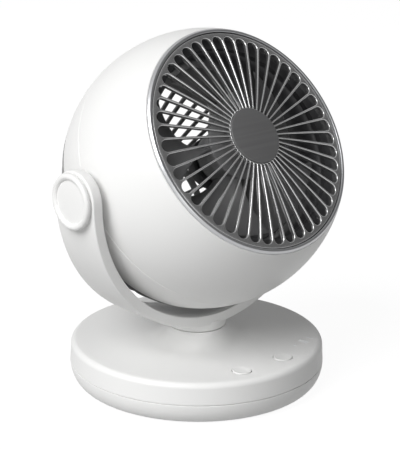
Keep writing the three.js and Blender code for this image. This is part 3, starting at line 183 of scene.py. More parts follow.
# ---- Non-slip pad -----------------------------------------------------------------------------------
# A round sheet of black rubber, glued into a shallow recess under the base. The fan stands on it.
def softened(corners, steps=4):
    """Outline with rounded corners. Each row is (distance from the axis, height, rounding). A rounded
    corner is a circle arc that touches both legs: a weighted blend of its two touching points and the
    corner itself."""
    outline = []
    for i, (radius, height, rounding) in enumerate(corners):
        corner = np.array([radius, height], float)
        if rounding == 0:
            outline.append(corner)
            continue
        before = np.array(corners[i - 1][:2], float) - corner
        after = np.array(corners[(i + 1) % len(corners)][:2], float) - corner
        lengths = np.linalg.norm(before), np.linalg.norm(after)
        before, after = before / lengths[0], after / lengths[1]
        half = math.acos(max(-1.0, min(1.0, float(before @ after)))) / 2
        touch = min(rounding / math.tan(half), 0.49 * min(lengths))
        s = np.linspace(0, 1, steps + 1)[:, None]
        weights = (1 - s) ** 2, 2 * s * (1 - s) * math.sin(half), s ** 2
        points = (weights[0] * (corner + before * touch) + weights[1] * corner
                  + weights[2] * (corner + after * touch))
        outline.extend(points / sum(weights))
    return np.array(outline)


def grid_faces(rows, columns, wrap_rows=False, wrap_columns=False):
    """Four-cornered faces between neighbouring rows and columns of a grid of points, as a (rows, columns,
    4) array."""
    i = np.arange(rows if wrap_rows else rows - 1)[:, None]
    j = np.arange(columns if wrap_columns else columns - 1)[None, :]
    below, beside = (i + 1) % rows, (j + 1) % columns
    corners = (i * columns + j, below * columns + j, below * columns + beside, i * columns + beside)
    return np.stack(np.broadcast_arrays(*corners), axis=-1)


def turned(outline, segments=180, angles=None, ring=True, left_out=None):
    """The outline carried round the Z axis: x = r cos a, y = r sin a, z = height. A ring's outline is a
    closed loop, and any other outline starts and ends on the axis or on a neighbour. left_out marks faces
    that aren't made."""
    if angles is None:
        angles = np.linspace(0, 2 * math.pi, segments, endpoint=False)
    radius, height = np.asarray(outline, float).T
    around = np.stack([np.cos(angles), np.sin(angles)], axis=-1)
    points = np.empty((len(radius), len(angles), 3))
    points[..., :2] = radius[:, None, None] * around[None]
    points[..., 2] = height[:, None]
    faces = grid_faces(len(radius), len(angles), ring, True)
    faces = faces.reshape(-1, 4) if left_out is None else faces[~left_out]
    return points.reshape(-1, 3), faces


def joined(parts):
    """Several grids of points and faces as one."""
    points, faces, count = [], [], 0
    for part_points, part_faces in parts:
        points.append(part_points)
        faces.append(part_faces + count)
        count += len(part_points)
    return np.concatenate(points), np.concatenate(faces)


def add_piece(name, part, material, body, stands_for, sharp=38):
    """A piece from points in millimetres and four-cornered faces: neighbours that share points are welded,
    faces turn outwards, and edges that bend more than the sharp angle stay crisp. It then rides on its
    body."""
    points, faces = part
    mesh = bpy.data.meshes.new(name)
    mesh.from_pydata((points * 0.001).tolist(), [], faces.tolist())
    cleaner = bmesh.new()
    cleaner.from_mesh(mesh)
    bmesh.ops.remove_doubles(cleaner, verts=cleaner.verts, dist=2e-6)
    bmesh.ops.recalc_face_normals(cleaner, faces=cleaner.faces)
    cleaner.to_mesh(mesh)
    cleaner.free()
    mesh.polygons.foreach_set("use_smooth", np.ones(len(mesh.polygons), bool))
    mesh.set_sharp_from_angle(angle=math.radians(sharp))
    mesh.materials.append(material)
    piece = bpy.data.objects.new(name, mesh)
    bpy.context.scene.collection.objects.link(piece)
    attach(piece, body)
    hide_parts(*stands_for)
    return piece


def grain_group():
    """Node group of a surface's fine structure. Grain is small even noise, which gives the height for a
    bump and moves the roughness. Tone is slow, wide noise, a factor a little under 1 that the colour is
    multiplied by."""
    group = bpy.data.node_groups.new("surface_grain", "ShaderNodeTree")
    sides = [("Vector", "INPUT", "NodeSocketVector"), ("Grain Scale", "INPUT", "NodeSocketFloat"),
             ("Tone Scale", "INPUT", "NodeSocketFloat"), ("Tone Drop", "INPUT", "NodeSocketFloat"),
             ("Roughness", "INPUT", "NodeSocketFloat"), ("Roughness Spread", "INPUT", "NodeSocketFloat"),
             ("Tone", "OUTPUT", "NodeSocketFloat"), ("Rough", "OUTPUT", "NodeSocketFloat"),
             ("Height", "OUTPUT", "NodeSocketFloat")]
    for label, side, kind in sides:
        group.interface.new_socket(name=label, in_out=side, socket_type=kind)
    nodes, links = group.nodes, group.links
    enter, leave = nodes.new("NodeGroupInput"), nodes.new("NodeGroupOutput")
    noises = {}
    for label, detail in (("Grain Scale", 2), ("Tone Scale", 3)):
        noise = nodes.new("ShaderNodeTexNoise")
        noise.inputs["Detail"].default_value = detail
        links.new(enter.outputs["Vector"], noise.inputs["Vector"])
        links.new(enter.outputs[label], noise.inputs["Scale"])
        noises[label] = noise.outputs[0]
    drop = nodes.new("ShaderNodeMath")
    drop.operation = "MULTIPLY"
    links.new(noises["Tone Scale"], drop.inputs[0])
    links.new(enter.outputs["Tone Drop"], drop.inputs[1])
    tone = nodes.new("ShaderNodeMath")
    tone.operation = "SUBTRACT"
    tone.inputs[0].default_value = 1
    links.new(drop.outputs[0], tone.inputs[1])
    links.new(tone.outputs[0], leave.inputs["Tone"])
    rough = nodes.new("ShaderNodeMath")
    rough.operation = "MULTIPLY_ADD"
    links.new(noises["Grain Scale"], rough.inputs[0])
    links.new(enter.outputs["Roughness Spread"], rough.inputs[1])
    links.new(enter.outputs["Roughness"], rough.inputs[2])
    links.new(rough.outputs[0], leave.inputs["Rough"])
    links.new(noises["Grain Scale"], leave.inputs["Height"])
    return group


surface_grain = grain_group()
bump_depth = 0.0002


def finish_material(name, colour, roughness, spread=0.08, grain=900, bump=0.1, tone=9, drop=0.04,
                    metallic=0.0, specular=0.5, coat=0.0, stretch=(1, 1, 1), turn=0.0):
    """A material whose colour is multiplied by the slow tone noise, and whose roughness and bump come from
    the fine grain. stretch and turn lay the grain in streaks: the object's points are turned about X, then
    stretched."""
    material = bpy.data.materials.new(name)
    material.use_nodes = True
    nodes, links = material.node_tree.nodes, material.node_tree.links
    surface = nodes["Principled BSDF"]
    surface.inputs["Metallic"].default_value = metallic
    surface.inputs["Specular IOR Level"].default_value = specular
    surface.inputs["Coat Weight"].default_value = coat
    place = nodes.new("ShaderNodeTexCoord")
    lay = nodes.new("ShaderNodeMapping")
    lay.vector_type = "TEXTURE"
    lay.inputs["Rotation"].default_value = (turn, 0, 0)
    lay.inputs["Scale"].default_value = stretch
    links.new(place.outputs["Object"], lay.inputs["Vector"])
    grains = nodes.new("ShaderNodeGroup")
    grains.node_tree = surface_grain
    for label, value in (("Grain Scale", grain), ("Tone Scale", tone), ("Tone Drop", drop),
                         ("Roughness", roughness), ("Roughness Spread", spread)):
        grains.inputs[label].default_value = value
    links.new(lay.outputs[0], grains.inputs["Vector"])
    tint = nodes.new("ShaderNodeMix")
    tint.data_type = "RGBA"
    tint.blend_type = "MULTIPLY"
    tint.inputs["Factor"].default_value = 1
    tint.inputs["A"].default_value = (*colour, 1)
    links.new(grains.outputs["Tone"], tint.inputs["B"])
    links.new(tint.outputs["Result"], surface.inputs["Base Color"])
    links.new(grains.outputs["Rough"], surface.inputs["Roughness"])
    raise_up = nodes.new("ShaderNodeBump")
    raise_up.inputs["Strength"].default_value = bump
    raise_up.inputs["Distance"].default_value = bump_depth
    links.new(grains.outputs["Height"], raise_up.inputs["Height"])
    links.new(raise_up.outputs[0], surface.inputs["Normal"])
    return material


rubber = finish_material("black_rubber", (0.022, 0.022, 0.024), 0.75, grain=1500, bump=0.5, drop=0.2)
pad_radius = 72
pad_thickness = 1.6
pad_edge = 0.3
pad_outline = softened([(0, 0, 0), (pad_radius, 0, pad_edge), (pad_radius, pad_thickness, pad_edge),
                        (0, pad_thickness, 0)])
add_piece("non_slip_pad_sheet", turned(pad_outline, ring=False), rubber, "base", ["non_slip_pad"])

# ---- Base bottom pan --------------------------------------------------------------------------------
# Lower half of the base, moulded in white plastic. Its side curves out from the flat underside to the shut
# line, and a lip reaches up inside the upper half. Four screws hold the two together.
white_plastic = finish_material("white_satin_plastic", (0.83, 0.83, 0.822), 0.4, grain=1300, bump=0.06,
                                tone=6, drop=0.02)
base_radius = 90
base_wall = 2.4
shut_line = 16
shut_gap = 0.3
pan_flat_radius = 80
pan_clearance = 0.8
pan_floor = 4.2
pan_lip = 2.5
pad_recess_radius = 72.3
pad_recess_height = 1.9


def ellipse_arc(centre, semi_axes, start, end, steps, rounding=0):
    """Points of an ellipse about its centre, from the start angle to the end angle in degrees, as corner
    rows."""
    a = np.radians(np.linspace(start, end, steps + 1))
    return [(centre[0] + semi_axes[0] * math.cos(t), centre[1] + semi_axes[1] * math.sin(t), rounding)
            for t in a]


pan_top = shut_line - shut_gap / 2
lip_outer = base_radius - base_wall - shut_gap
lip_inner = lip_outer - base_wall + shut_gap
pan_spread = (base_radius - pan_flat_radius, pan_top - pan_clearance)
pan_outline = softened([
    (0, pad_recess_height, 0), (pad_recess_radius, pad_recess_height, 0),
    (pad_recess_radius, pan_clearance, 0.2),
    *ellipse_arc((pan_flat_radius, pan_top), pan_spread, -90, -4, 24),
    (base_radius, pan_top, 0.25),
    (lip_outer, pan_top, 0), (lip_outer, pan_top + pan_lip, 0.3), (lip_inner, pan_top + pan_lip, 0.3),
    *ellipse_arc((pan_flat_radius, pan_top), (lip_inner - pan_flat_radius, pan_top - pan_floor), 0, -90, 10),
    (0, pan_floor, 0)])
add_piece("bottom_pan", turned(pan_outline, 240, ring=False), white_plastic, "base",
          ["base_bottom_pan"])

# ---- Base top shell ---------------------------------------------------------------------------------
# Upper half of the base in the same white plastic: a flat round top with a soft shoulder, which rises to
# the turntable in a trumpet foot. Two round holes take the buttons, and a small one at the back the power
# inlet.
base_height = 31.4
shoulder = 4
draft = 0.6
foot_radius = 20.9
foot_rise = 9.6
foot_spread = 16
bore = 12.4
button_radius = 6.5
button_gap = 0.4
button_circle = 72
button_angles = (-16.9, 13.5)
cell_reach = 9.0
cell_half_angle = math.radians(7.5)
cell_steps = 12
inlet_height = 21
inlet_cell = (17.5, 25.0)
inlet_half_angle = math.radians(5)
inlet_steps = 8
inlet_hole = np.array([4.75, 1.9])
inlet_squareness = 5


def pierced(hole, border, edge, inner_edge, depth, place):
    """A hole through a wall and the wall around it, out to a border with as many points as the hole's line.
    Rows run from the border to the hole's line set back by the edge rounding, round the edge, down the hole
    and out again on the inside. place puts (two flat coordinates, depth below the outside) where they
    belong. The rounding may differ from point to point."""
    edge = np.broadcast_to(edge, len(hole))
    along = np.roll(hole, -1, axis=0) - np.roll(hole, 1, axis=0)
    along /= np.linalg.norm(along, axis=1, keepdims=True)
    outwards = np.stack([along[:, 1], -along[:, 0]], axis=1)
    rows = [(border, 0.0)]
    for turn in np.radians([0, 22, 45, 68, 90]):
        rows.append((hole + outwards * (edge * (1 - math.sin(turn)))[:, None], edge * (1 - math.cos(turn))))
    for turn in np.radians([90, 45, 0]):
        rows.append((hole + outwards * inner_edge * (1 - math.sin(turn)),
                     depth - inner_edge * (1 - math.cos(turn))))
    rows.append((border, float(depth)))
    points = [place(flat[:, 0], flat[:, 1], below) for flat, below in rows]
    return np.concatenate(points), grid_faces(len(rows), len(hole), False, True).reshape(-1, 4)


def cell_border_line(first, second, steps):
    """Points once round a rectangular cell, counter-clockwise from its first corner, with as many steps per
    side."""
    s = np.linspace(0, 1, steps, endpoint=False)
    (a, b), (c, d) = first, second
    return np.concatenate([
        np.stack([a + (b - a) * s, np.full(steps, c)], axis=1),
        np.stack([np.full(steps, b), c + (d - c) * s], axis=1),
        np.stack([b + (a - b) * s, np.full(steps, d)], axis=1),
        np.stack([np.full(steps, a), d + (c - d) * s], axis=1)])


def round_hole(centre, circle, radius, stations, radii, steps, edge, inner_edge, depth, place):
    """A round hole and the wall around it, out to the cell between the outer stations and radii. Its middle
    lies on a circle at the centre angle, and each hole point lies in line with that middle and a border
    point."""
    angle, reach = cell_border_line((stations[0], stations[-1]), (radii[0], radii[-1]), steps).T
    border = np.stack([reach * np.cos(angle), reach * np.sin(angle)], axis=1)
    middle = circle * np.array([math.cos(centre), math.sin(centre)])
    towards = (border - middle) / np.linalg.norm(border - middle, axis=1, keepdims=True)
    return pierced(middle + towards * radius, border, edge, inner_edge, depth, place)


shoulder_radius = base_radius - draft - shoulder
shoulder_height = base_height - shoulder
ceiling = base_height - base_wall
top_bottom = shut_line + shut_gap / 2
foot_top = base_height + foot_rise
flare_centre = (foot_radius + foot_spread, foot_top)
side_slope = draft / (shoulder_height - top_bottom)
side_heights = np.linspace(*inlet_cell, inlet_steps + 1)
top_radii = np.linspace(button_circle + cell_reach, button_circle - cell_reach, cell_steps + 1)


def side_radius(height, inset=0.0):
    """Radius of the leaning side wall at a height."""
    return base_radius - side_slope * (height - top_bottom) - inset


top_corners = [
    (bore, foot_top, 0.3),
    *ellipse_arc(flare_centre, (foot_spread, foot_rise), 180, 188, 3),
    *ellipse_arc(flare_centre, (foot_spread, foot_rise), 192, 270, 24),
    *[(r, base_height, 0) for r in top_radii[::-1]],
    *ellipse_arc((shoulder_radius, shoulder_height), (shoulder, shoulder), 90, 0, 12),
    *[(side_radius(z), z, 0) for z in side_heights[::-1]],
    (base_radius, top_bottom, 0.25), (base_radius - base_wall, top_bottom, 0.2),
    *[(side_radius(z, base_wall), z, 0) for z in side_heights],
    (shoulder_radius + shoulder - base_wall, shoulder_height, 0), (shoulder_radius, ceiling, 0),
    *[(r, ceiling, 0) for r in top_radii],
    *ellipse_arc(flare_centre, (foot_spread + base_wall, foot_rise + base_wall), 270, 200, 8),
    (bore + base_wall, foot_top - 4, 0), (bore + base_wall, 25, 0.3), (bore, 25, 0.3)]
top_outline = softened(top_corners)
button_centres = [math.radians(a - 90) for a in button_angles]
cell_angles = [c + np.linspace(-cell_half_angle, cell_half_angle, cell_steps + 1) for c in button_centres]
cell_angles.append(math.pi / 2 + np.linspace(-inlet_half_angle, inlet_half_angle, inlet_steps + 1))
between = []
for k, stations in enumerate(cell_angles):
    following = cell_angles[(k + 1) % 3][0] + (2 * math.pi if k == 2 else 0)
    count = int((following - stations[-1]) / math.radians(2)) + 1
    between += [stations, np.linspace(stations[-1], following, count + 1)[1:-1]]
top_angles = np.concatenate(between)


def within(values, low, high):
    """Marks the steps between neighbouring values that lie from low to high."""
    following = np.roll(values, -1)
    small = 1e-6
    return ((np.minimum(values, following) > low - small) & (np.maximum(values, following) < high + small)
            & (np.abs(following - values) < high - low))


level_steps = np.abs(top_outline[:, 1] - np.roll(top_outline[:, 1], -1)) < 1e-6
left_out = np.zeros((len(top_outline), len(top_angles)), bool)
top_rows = within(top_outline[:, 0], top_radii[-1], top_radii[0]) & level_steps
for stations in cell_angles[:2]:
    left_out |= top_rows[:, None] & within(top_angles, stations[0], stations[-1])[None]
side_rows = within(top_outline[:, 1], *inlet_cell) & (top_outline[:, 0] > base_radius - 2 * base_wall)
left_out |= side_rows[:, None] & within(top_angles, cell_angles[2][0], cell_angles[2][-1])[None]
top_parts = [turned(top_outline, angles=top_angles, left_out=left_out)]


def below_top(x, y, below):
    """A point under the flat top, that far below it."""
    return np.stack([x, y, np.full(len(x), base_height - below)], axis=1)


for centre, stations in zip(button_centres, cell_angles):
    top_parts.append(round_hole(centre, button_circle, button_radius + button_gap, stations, top_radii,
                                cell_steps, 0.3, 0.2, base_wall, below_top))


def below_side(angle, height, below):
    """A point that far inside the side wall. The angle comes as a length along the base radius."""
    radius = side_radius(height, below)
    turn = angle / base_radius
    return np.stack([radius * np.cos(turn), radius * np.sin(turn), height], axis=1)


back_angles = cell_angles[2] * base_radius
side_border = cell_border_line((back_angles[0], back_angles[-1]), inlet_cell, inlet_steps)
inlet_middle = np.array([math.pi / 2 * base_radius, inlet_height])
ray = (side_border - inlet_middle) / inlet_hole
ray /= np.linalg.norm(ray, axis=1, keepdims=True)
side_hole = inlet_middle + inlet_hole * np.sign(ray) * np.abs(ray) ** (2 / inlet_squareness)
top_parts.append(pierced(side_hole, side_border, 0.15, 0.1, base_wall, below_side))
add_piece("top_shell", joined(top_parts), white_plastic, "base", ["base_top_shell"],
          sharp=30)

# ---- Push buttons -----------------------------------------------------------------------------------
# Two round white buttons that slide in the holes of the top shell, a little proud and slightly dished. A
# wide hidden flange keeps each in its hole, and a switch under it pushes it back.
button_rise = 0.5
button_dish = 0.5
button_flange = 1.3
flange_top = ceiling - 0.4
dish_radii = np.linspace(button_radius - 0.9, 0, 12)
button_top = base_height + button_rise
button_outline = softened([
    (0, flange_top - button_flange, 0), (button_radius + button_flange, flange_top - button_flange, 0.2),
    (button_radius + button_flange, flange_top, 0.2), (button_radius, flange_top, 0),
    (button_radius, button_top, 0.55),
    *[(r, button_top - button_dish * (1 - (r / dish_radii[0]) ** 2), 0) for r in dish_radii]], steps=6)
for side, centre in zip(("left", "right"), button_centres):
    points, faces = turned(button_outline, 96, ring=False)
    points = points + (button_circle * math.cos(centre), button_circle * math.sin(centre), 0)
    add_piece("button_" + side, (points, faces), white_plastic, side + "_button",
              ["push_button_" + side])

# ---- Indicator lenses -------------------------------------------------------------------------------
# Three small light pipes of clear white plastic, a dot and two bars, moulded flush into the top shell over
# the lamps on the board.
lens_plastic = finish_material("frosted_lens", (0.93, 0.94, 0.95), 0.22, grain=2500, bump=0.02, drop=0.01,
                               coat=0.3)
lens_bottom = 23.9
lens_top = base_height + 0.05
lens_edge = 0.15
bar_turn = math.radians(-75)
lenses = [((38.8, -60.1), (1.1, 1.1), 2), ((48.6, -58.8), (3.75, 2.2), 6), ((56.8, -57.6), (3.25, 0.8), 6)]


def squarish(count, squareness):
    """Points once round x = |cos t|^(2/m), y = |sin t|^(2/m) with their signs, where m is the squareness: 2
    gives a circle, and more comes closer to a square."""
    t = np.linspace(0, 2 * math.pi, count, endpoint=False)
    circle = np.stack([np.cos(t), np.sin(t)], 1)
    return np.sign(circle) * np.abs(circle) ** (2 / squareness)


def upright_bar(middle, half_sizes, squareness, turn, bottom, top, edge):
    """A column whose outline is the squarish line stretched to the half sizes and turned about its middle.
    Its edges are set in by the edge rounding at both ends."""
    unit = squarish(48, squareness)
    rows = [(None, bottom), (edge, bottom), (0, bottom + edge), (0, top - edge),
            (edge * 0.3, top - edge * 0.3), (edge, top), (None, top)]
    points = []
    for inset, height in rows:
        reach = np.zeros(2) if inset is None else np.array(half_sizes) - inset
        flat = unit * reach
        x = middle[0] + flat[:, 0] * math.cos(turn) - flat[:, 1] * math.sin(turn)
        y = middle[1] + flat[:, 0] * math.sin(turn) + flat[:, 1] * math.cos(turn)
        points.append(np.stack([x, y, np.full(len(unit), height)], axis=1))
    return np.concatenate(points), grid_faces(len(rows), len(unit), False, True).reshape(-1, 4)


for number, (middle, half_sizes, squareness) in enumerate(lenses, 1):
    lens = upright_bar(middle, half_sizes, squareness, bar_turn, lens_bottom, lens_top, lens_edge)
    add_piece(f"lens_{number}", lens, lens_plastic, "base", [f"indicator_lens_{number}"])

# ---- Power inlet ------------------------------------------------------------------------------------
# A small pressed-steel socket in the back of the base, with a flat tongue that holds the contacts. It is
# soldered to the power board.
plated_steel = finish_material("plated_steel", (0.56, 0.57, 0.58), 0.28, grain=3000, bump=0.05, metallic=1.0)
inlet_front = base_radius - draft
inlet_depth = 9
inlet_skin = 0.45
inlet_outer = np.array([4.45, 1.6])
inlet_line = squarish(64, inlet_squareness)
tongue = np.array([3.3, 0.35])
inlet_rows = [(0 * inlet_outer, 0), (inlet_outer - 0.1, 0), (inlet_outer, 0.1),
              (inlet_outer, inlet_depth - 0.15), (inlet_outer - 0.15, inlet_depth),
              (inlet_outer - 0.3, inlet_depth),
              (inlet_outer - inlet_skin, inlet_depth - 0.15), (inlet_outer - inlet_skin, 1), (tongue, 1),
              (tongue, inlet_depth - 1.1), (tongue - 0.1, inlet_depth - 1), (0 * tongue, inlet_depth - 1)]
points = np.concatenate([
    np.stack([inlet_line[:, 0] * half[0], np.full(len(inlet_line), inlet_front - inlet_depth + out),
              inlet_line[:, 1] * half[1] + inlet_height], axis=1) for half, out in inlet_rows])
inlet_faces = grid_faces(len(inlet_rows), len(inlet_line), False, True).reshape(-1, 4)
add_piece("inlet_socket", (points, inlet_faces), plated_steel, "base", ["power_inlet"])

# ---- Works inside the base --------------------------------------------------------------------------
# Steel screws and a curved counterweight in the pan, two green circuit boards, black switches, and the
# swing motor with a nylon pinion and bush. They are machined or moulded parts whose CAD shapes are kept.
board_green = finish_material("green_board", (0.02, 0.085, 0.04), 0.35, grain=2500, bump=0.1, drop=0.2)
black_plastic = finish_material("black_plastic", (0.03, 0.03, 0.032), 0.5, grain=1400, bump=0.1)
zinc = finish_material("zinc_plated_can", (0.42, 0.43, 0.45), 0.35, grain=2000, bump=0.1, tone=60, drop=0.25,
                       metallic=1.0)
nylon = finish_material("natural_nylon", (0.74, 0.71, 0.62), 0.5, grain=1500, bump=0.08, drop=0.06)
dressed = {
    plated_steel: [f"base_screw_{i}" for i in (1, 2, 3, 4)] + ["counterweight"],
    board_green: ["control_board", "power_board"],
    black_plastic: ["tactile_switch_left", "tactile_switch_right"],
    zinc: ["swing_motor"],
    nylon: ["swing_pinion", "spindle_bush", "thrust_washer"]}


def dress(groups):
    """Gives the CAD nodes that stay in the scene their materials, in place of the plain ones they come
    with."""
    for material, names in groups.items():
        for name in names:
            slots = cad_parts[name].data.materials
            slots.clear()
            slots.append(material)


dress(dressed)

# ---- Turntable spindle ------------------------------------------------------------------------------
# A nylon spindle under the yoke turns in the bush of the base. It carries a toothed sector that the pinion
# drives, and a steel clip in a groove holds both down. The CAD shapes are kept.
dress({nylon: ["turntable_spindle", "sector_gear"], plated_steel: ["retaining_clip"]})

# ---- Yoke shell -------------------------------------------------------------------------------------
# A U-shaped channel of white plastic with round ends, which carries the head between its arms. Its outer
# face is smooth and its edges are softly rounded. A round foot stands on the turntable, and a low round
# collar on the outside of each arm carries the pivot cap.
pivot_height = 151.8
yoke_half_span = 108.1
yoke_drop = 106
yoke_thickness = 7.5
yoke_half_width = 20.3
yoke_wall = 2.2
yoke_length = math.pi * 107
yoke_foot_radius = 20.7
yoke_foot_bottom = 41.4
yoke_collar_radius = 18
yoke_collar_face = 109.0
yoke_foot_bore = 10.3
yoke_foot_top = 47.9
pivot_boss_radius = 9
pivot_boss_face = 98.5
pivot_boss_back = 107
pivot_bore = 4.4
pin_head_bore = 6.8
pin_head_seat = 105.3


def bent(length, across, depth):
    """Lays flat strip coordinates on the U: along its bend the angle grows with length, and a point is x =
    (a - depth) cos angle, z = (b - depth) sin angle. Before the start and past the end it goes straight
    up."""
    angle = math.pi + np.clip(length, 0, yoke_length) * math.pi / yoke_length
    x = (yoke_half_span - depth) * np.cos(angle)
    z = (yoke_drop - depth) * np.sin(angle)
    z = z + np.clip(-length, 0, None) + np.clip(length - yoke_length, 0, None)
    return np.stack([x, across, z + pivot_height], axis=1)


def strip(half_width, rows):
    """A bent strip with round ends. Its outline is a long slot shape, and every outline point has a point
    on the middle line. A row is (inset from the outline, depth), and an inset of the half width is the
    middle line."""
    line = np.linspace(0, yoke_length, 181)
    turn = np.linspace(-math.pi / 2, math.pi / 2, 41)[1:-1]
    front = np.stack([line, np.full(181, -half_width)], 1)
    right = np.stack([yoke_length + half_width * np.cos(turn), half_width * np.sin(turn)], 1)
    rear = np.stack([line[::-1], np.full(181, half_width)], 1)
    left = np.stack([-half_width * np.cos(turn), -half_width * np.sin(turn)], 1)
    outline = np.concatenate([front, right, rear, left])
    middle = np.stack([np.clip(outline[:, 0], 0, yoke_length), np.zeros(len(outline))], 1)
    points = []
    for inset, depth in rows:
        flat = outline + (middle - outline) * inset / half_width
        points.append(bent(flat[:, 0], flat[:, 1], depth))
    return np.concatenate(points), grid_faces(len(rows), len(outline), False, True).reshape(-1, 4)


def rounded_rows(inset, depth, turn_from, turn_to, radius, steps=5):
    """Rows of a quarter round about (inset, depth), for the edge of a strip."""
    return [(inset - radius * math.cos(a), depth - radius * math.sin(a))
            for a in np.radians(np.linspace(turn_from, turn_to, steps + 1))]


def sideways(part, side):
    """Lays a part that was turned about Z along X on the left (-1) or right (1), at the height of the
    pivots."""
    points, faces = part
    return np.stack([side * points[:, 2], points[:, 1], pivot_height - side * points[:, 0]], axis=1), faces


outer_edge, inner_edge = 1.1, 0.7
shell_rows = [(yoke_half_width, 0), (yoke_half_width * 0.5, 0)]
shell_rows += rounded_rows(outer_edge, outer_edge, 90, 0, outer_edge)
shell_rows += rounded_rows(inner_edge, yoke_thickness - inner_edge, 0, -90, inner_edge)
shell_rows += [(yoke_wall - 0.3, yoke_thickness), (yoke_wall, yoke_thickness - 0.3), (yoke_wall, yoke_wall),
               (yoke_half_width, yoke_wall)]
yoke_parts = [strip(yoke_half_width, shell_rows)]
yoke_foot = softened([(yoke_foot_bore, yoke_foot_bottom, 0.3), (yoke_foot_radius, yoke_foot_bottom, 0.4),
                      (yoke_foot_radius, yoke_foot_top, 0.2), (yoke_foot_bore, yoke_foot_top, 0)])
yoke_parts.append(turned(yoke_foot, 144))
boss = softened([(pivot_bore, pivot_boss_face, 0.3), (pivot_boss_radius, pivot_boss_face, 0.4),
                 (pivot_boss_radius, pivot_boss_back, 0), (yoke_collar_radius, pivot_boss_back, 0),
                 (yoke_collar_radius, yoke_collar_face, 0.4), (pin_head_bore, yoke_collar_face, 0),
                 (pin_head_bore, pin_head_seat, 0), (pivot_bore, pin_head_seat, 0)])
yoke_parts += [sideways(turned(boss, 120), side) for side in (-1, 1)]
add_piece("yoke_shell", joined(yoke_parts), white_plastic, "yoke", ["yoke_outer_shell"])

# ---- Yoke inner cover -------------------------------------------------------------------------------
# A thin white strip that snaps into the channel from the inside of the U and closes it, with a fine gap all
# round.
cover_half_width = yoke_half_width - yoke_wall - 0.3
cover_top, cover_bottom = yoke_thickness, yoke_thickness - 1.6
cover_rows = [(cover_half_width, cover_bottom), (0, cover_bottom)]
cover_rows += rounded_rows(0.4, cover_top - 0.4, 0, -90, 0.4, 3)
cover_rows += [(cover_half_width * 0.5, cover_top), (cover_half_width, cover_top)]
add_piece("yoke_cover", strip(cover_half_width, cover_rows), white_plastic, "yoke",
          ["yoke_inner_cover"])

# ---- Pivot caps -------------------------------------------------------------------------------------
# A white cap pressed over each pivot: a thick rounded ring around a shallow dished disc.
cap_radius = 19
cap_roll = 2.3
cap_back = 109.3
roll_height = cap_back + 0.9
cap_disc_drop = 1.8
cap_crown = 0.5
cap_disc = roll_height + cap_roll - cap_disc_drop
meet = math.degrees(math.asin((cap_disc - roll_height) / cap_roll))
disc_radius = cap_radius - cap_roll - cap_roll * math.cos(math.radians(meet))
disc_rows = [(r, cap_disc + cap_crown * (1 - (r / disc_radius) ** 2), 0)
             for r in np.linspace(disc_radius - 0.2, 0, 10)]
cap_outline = softened([
    (0, cap_back, 0), (cap_radius, cap_back, 0.3),
    *ellipse_arc((cap_radius - cap_roll, roll_height), (cap_roll, cap_roll), 0, 180 - meet, 20), *disc_rows])
for side_name, side in (("left", -1), ("right", 1)):
    add_piece("cap_" + side_name, sideways(turned(cap_outline, 144, ring=False), side), white_plastic, "yoke",
              ["pivot_cap_" + side_name])

# ---- Pivots -----------------------------------------------------------------------------------------
# A steel pin through each arm carries the head. A rubber washer on it is squeezed between the yoke's boss
# and the head's white hub, and its friction holds the tilt.
dress({plated_steel: ["pivot_pin_left", "pivot_pin_right"],
       rubber: ["friction_washer_left", "friction_washer_right"]})
hub_back, hub_step, hub_face = 87.8, 90.3, 97
hub_flange_radius, hub_radius = 15, 12
hub_outline = softened([
    (pivot_bore, hub_back, 0.2), (hub_flange_radius, hub_back, 0.3), (hub_flange_radius, hub_step, 0.3),
    (hub_radius, hub_step, 0), (hub_radius, hub_face, 0.6), (pivot_bore, hub_face, 0.2)])
for side_name, side in (("left", -1), ("right", 1)):
    add_piece("hub_" + side_name, sideways(turned(hub_outline, 120), side), white_plastic, "head",
              ["pivot_hub_" + side_name])

# ---- Front shell ------------------------------------------------------------------------------------
# The front half of the ball, one white moulding, a little longer along the axis than across. Its rounded
# lip surrounds the ring, and a flat ledge inside carries the grille and the duct.
rest_tilt = math.radians(33.5)
head_radius = 95.5
head_half_length = 100.2
head_centre = 6.1
head_wall = 2.4
lip_height = 59.6
seat_height = 53
seat_inner = 69.5
sleeve_bore = 78.4
seat_rear = 50.5
seam_half = 0.1
seam_rounding = 0.35


def on_head(part):
    """Stands a part that was made along +Z in the head: its axis tips to the rest tilt, about the pivots."""
    points, faces = part
    x, y, z = points.T
    forward = y * math.sin(rest_tilt) - z * math.cos(rest_tilt)
    upward = y * math.cos(rest_tilt) + z * math.sin(rest_tilt)
    return np.stack([x, forward, upward + pivot_height], axis=1), faces


def ball_radius(height, inset=0.0):
    """Radius of the ball at a place along its axis: R sqrt(1 - (z - centre)^2 / L^2)."""
    share = (np.asarray(height, float) - head_centre) / (head_half_length - inset)
    return (head_radius - inset) * np.sqrt(1 - share ** 2)


def ball_rows(start, end, steps, inset=0.0):
    """Corner rows along the ball between two places on its axis."""
    return [(float(ball_radius(z, inset)), z, 0) for z in np.linspace(start, end, steps + 1)]


front_outline = softened([
    (float(ball_radius(seam_half)), seam_half, seam_rounding), *ball_rows(1, 58.4, 60),
    (float(ball_radius(lip_height)), lip_height, 0.8), (sleeve_bore, lip_height, 0.4),
    (sleeve_bore, 58.3, 0.2), (float(ball_radius(seat_height, head_wall)), seat_height, 0),
    (seat_inner, seat_height, 0.3), (seat_inner, seat_rear, 0.3), *ball_rows(seat_rear, 0.05, 24, head_wall)])
add_piece("shell_front", on_head(turned(front_outline, 256)), white_plastic, "head",
          ["front_shell"])

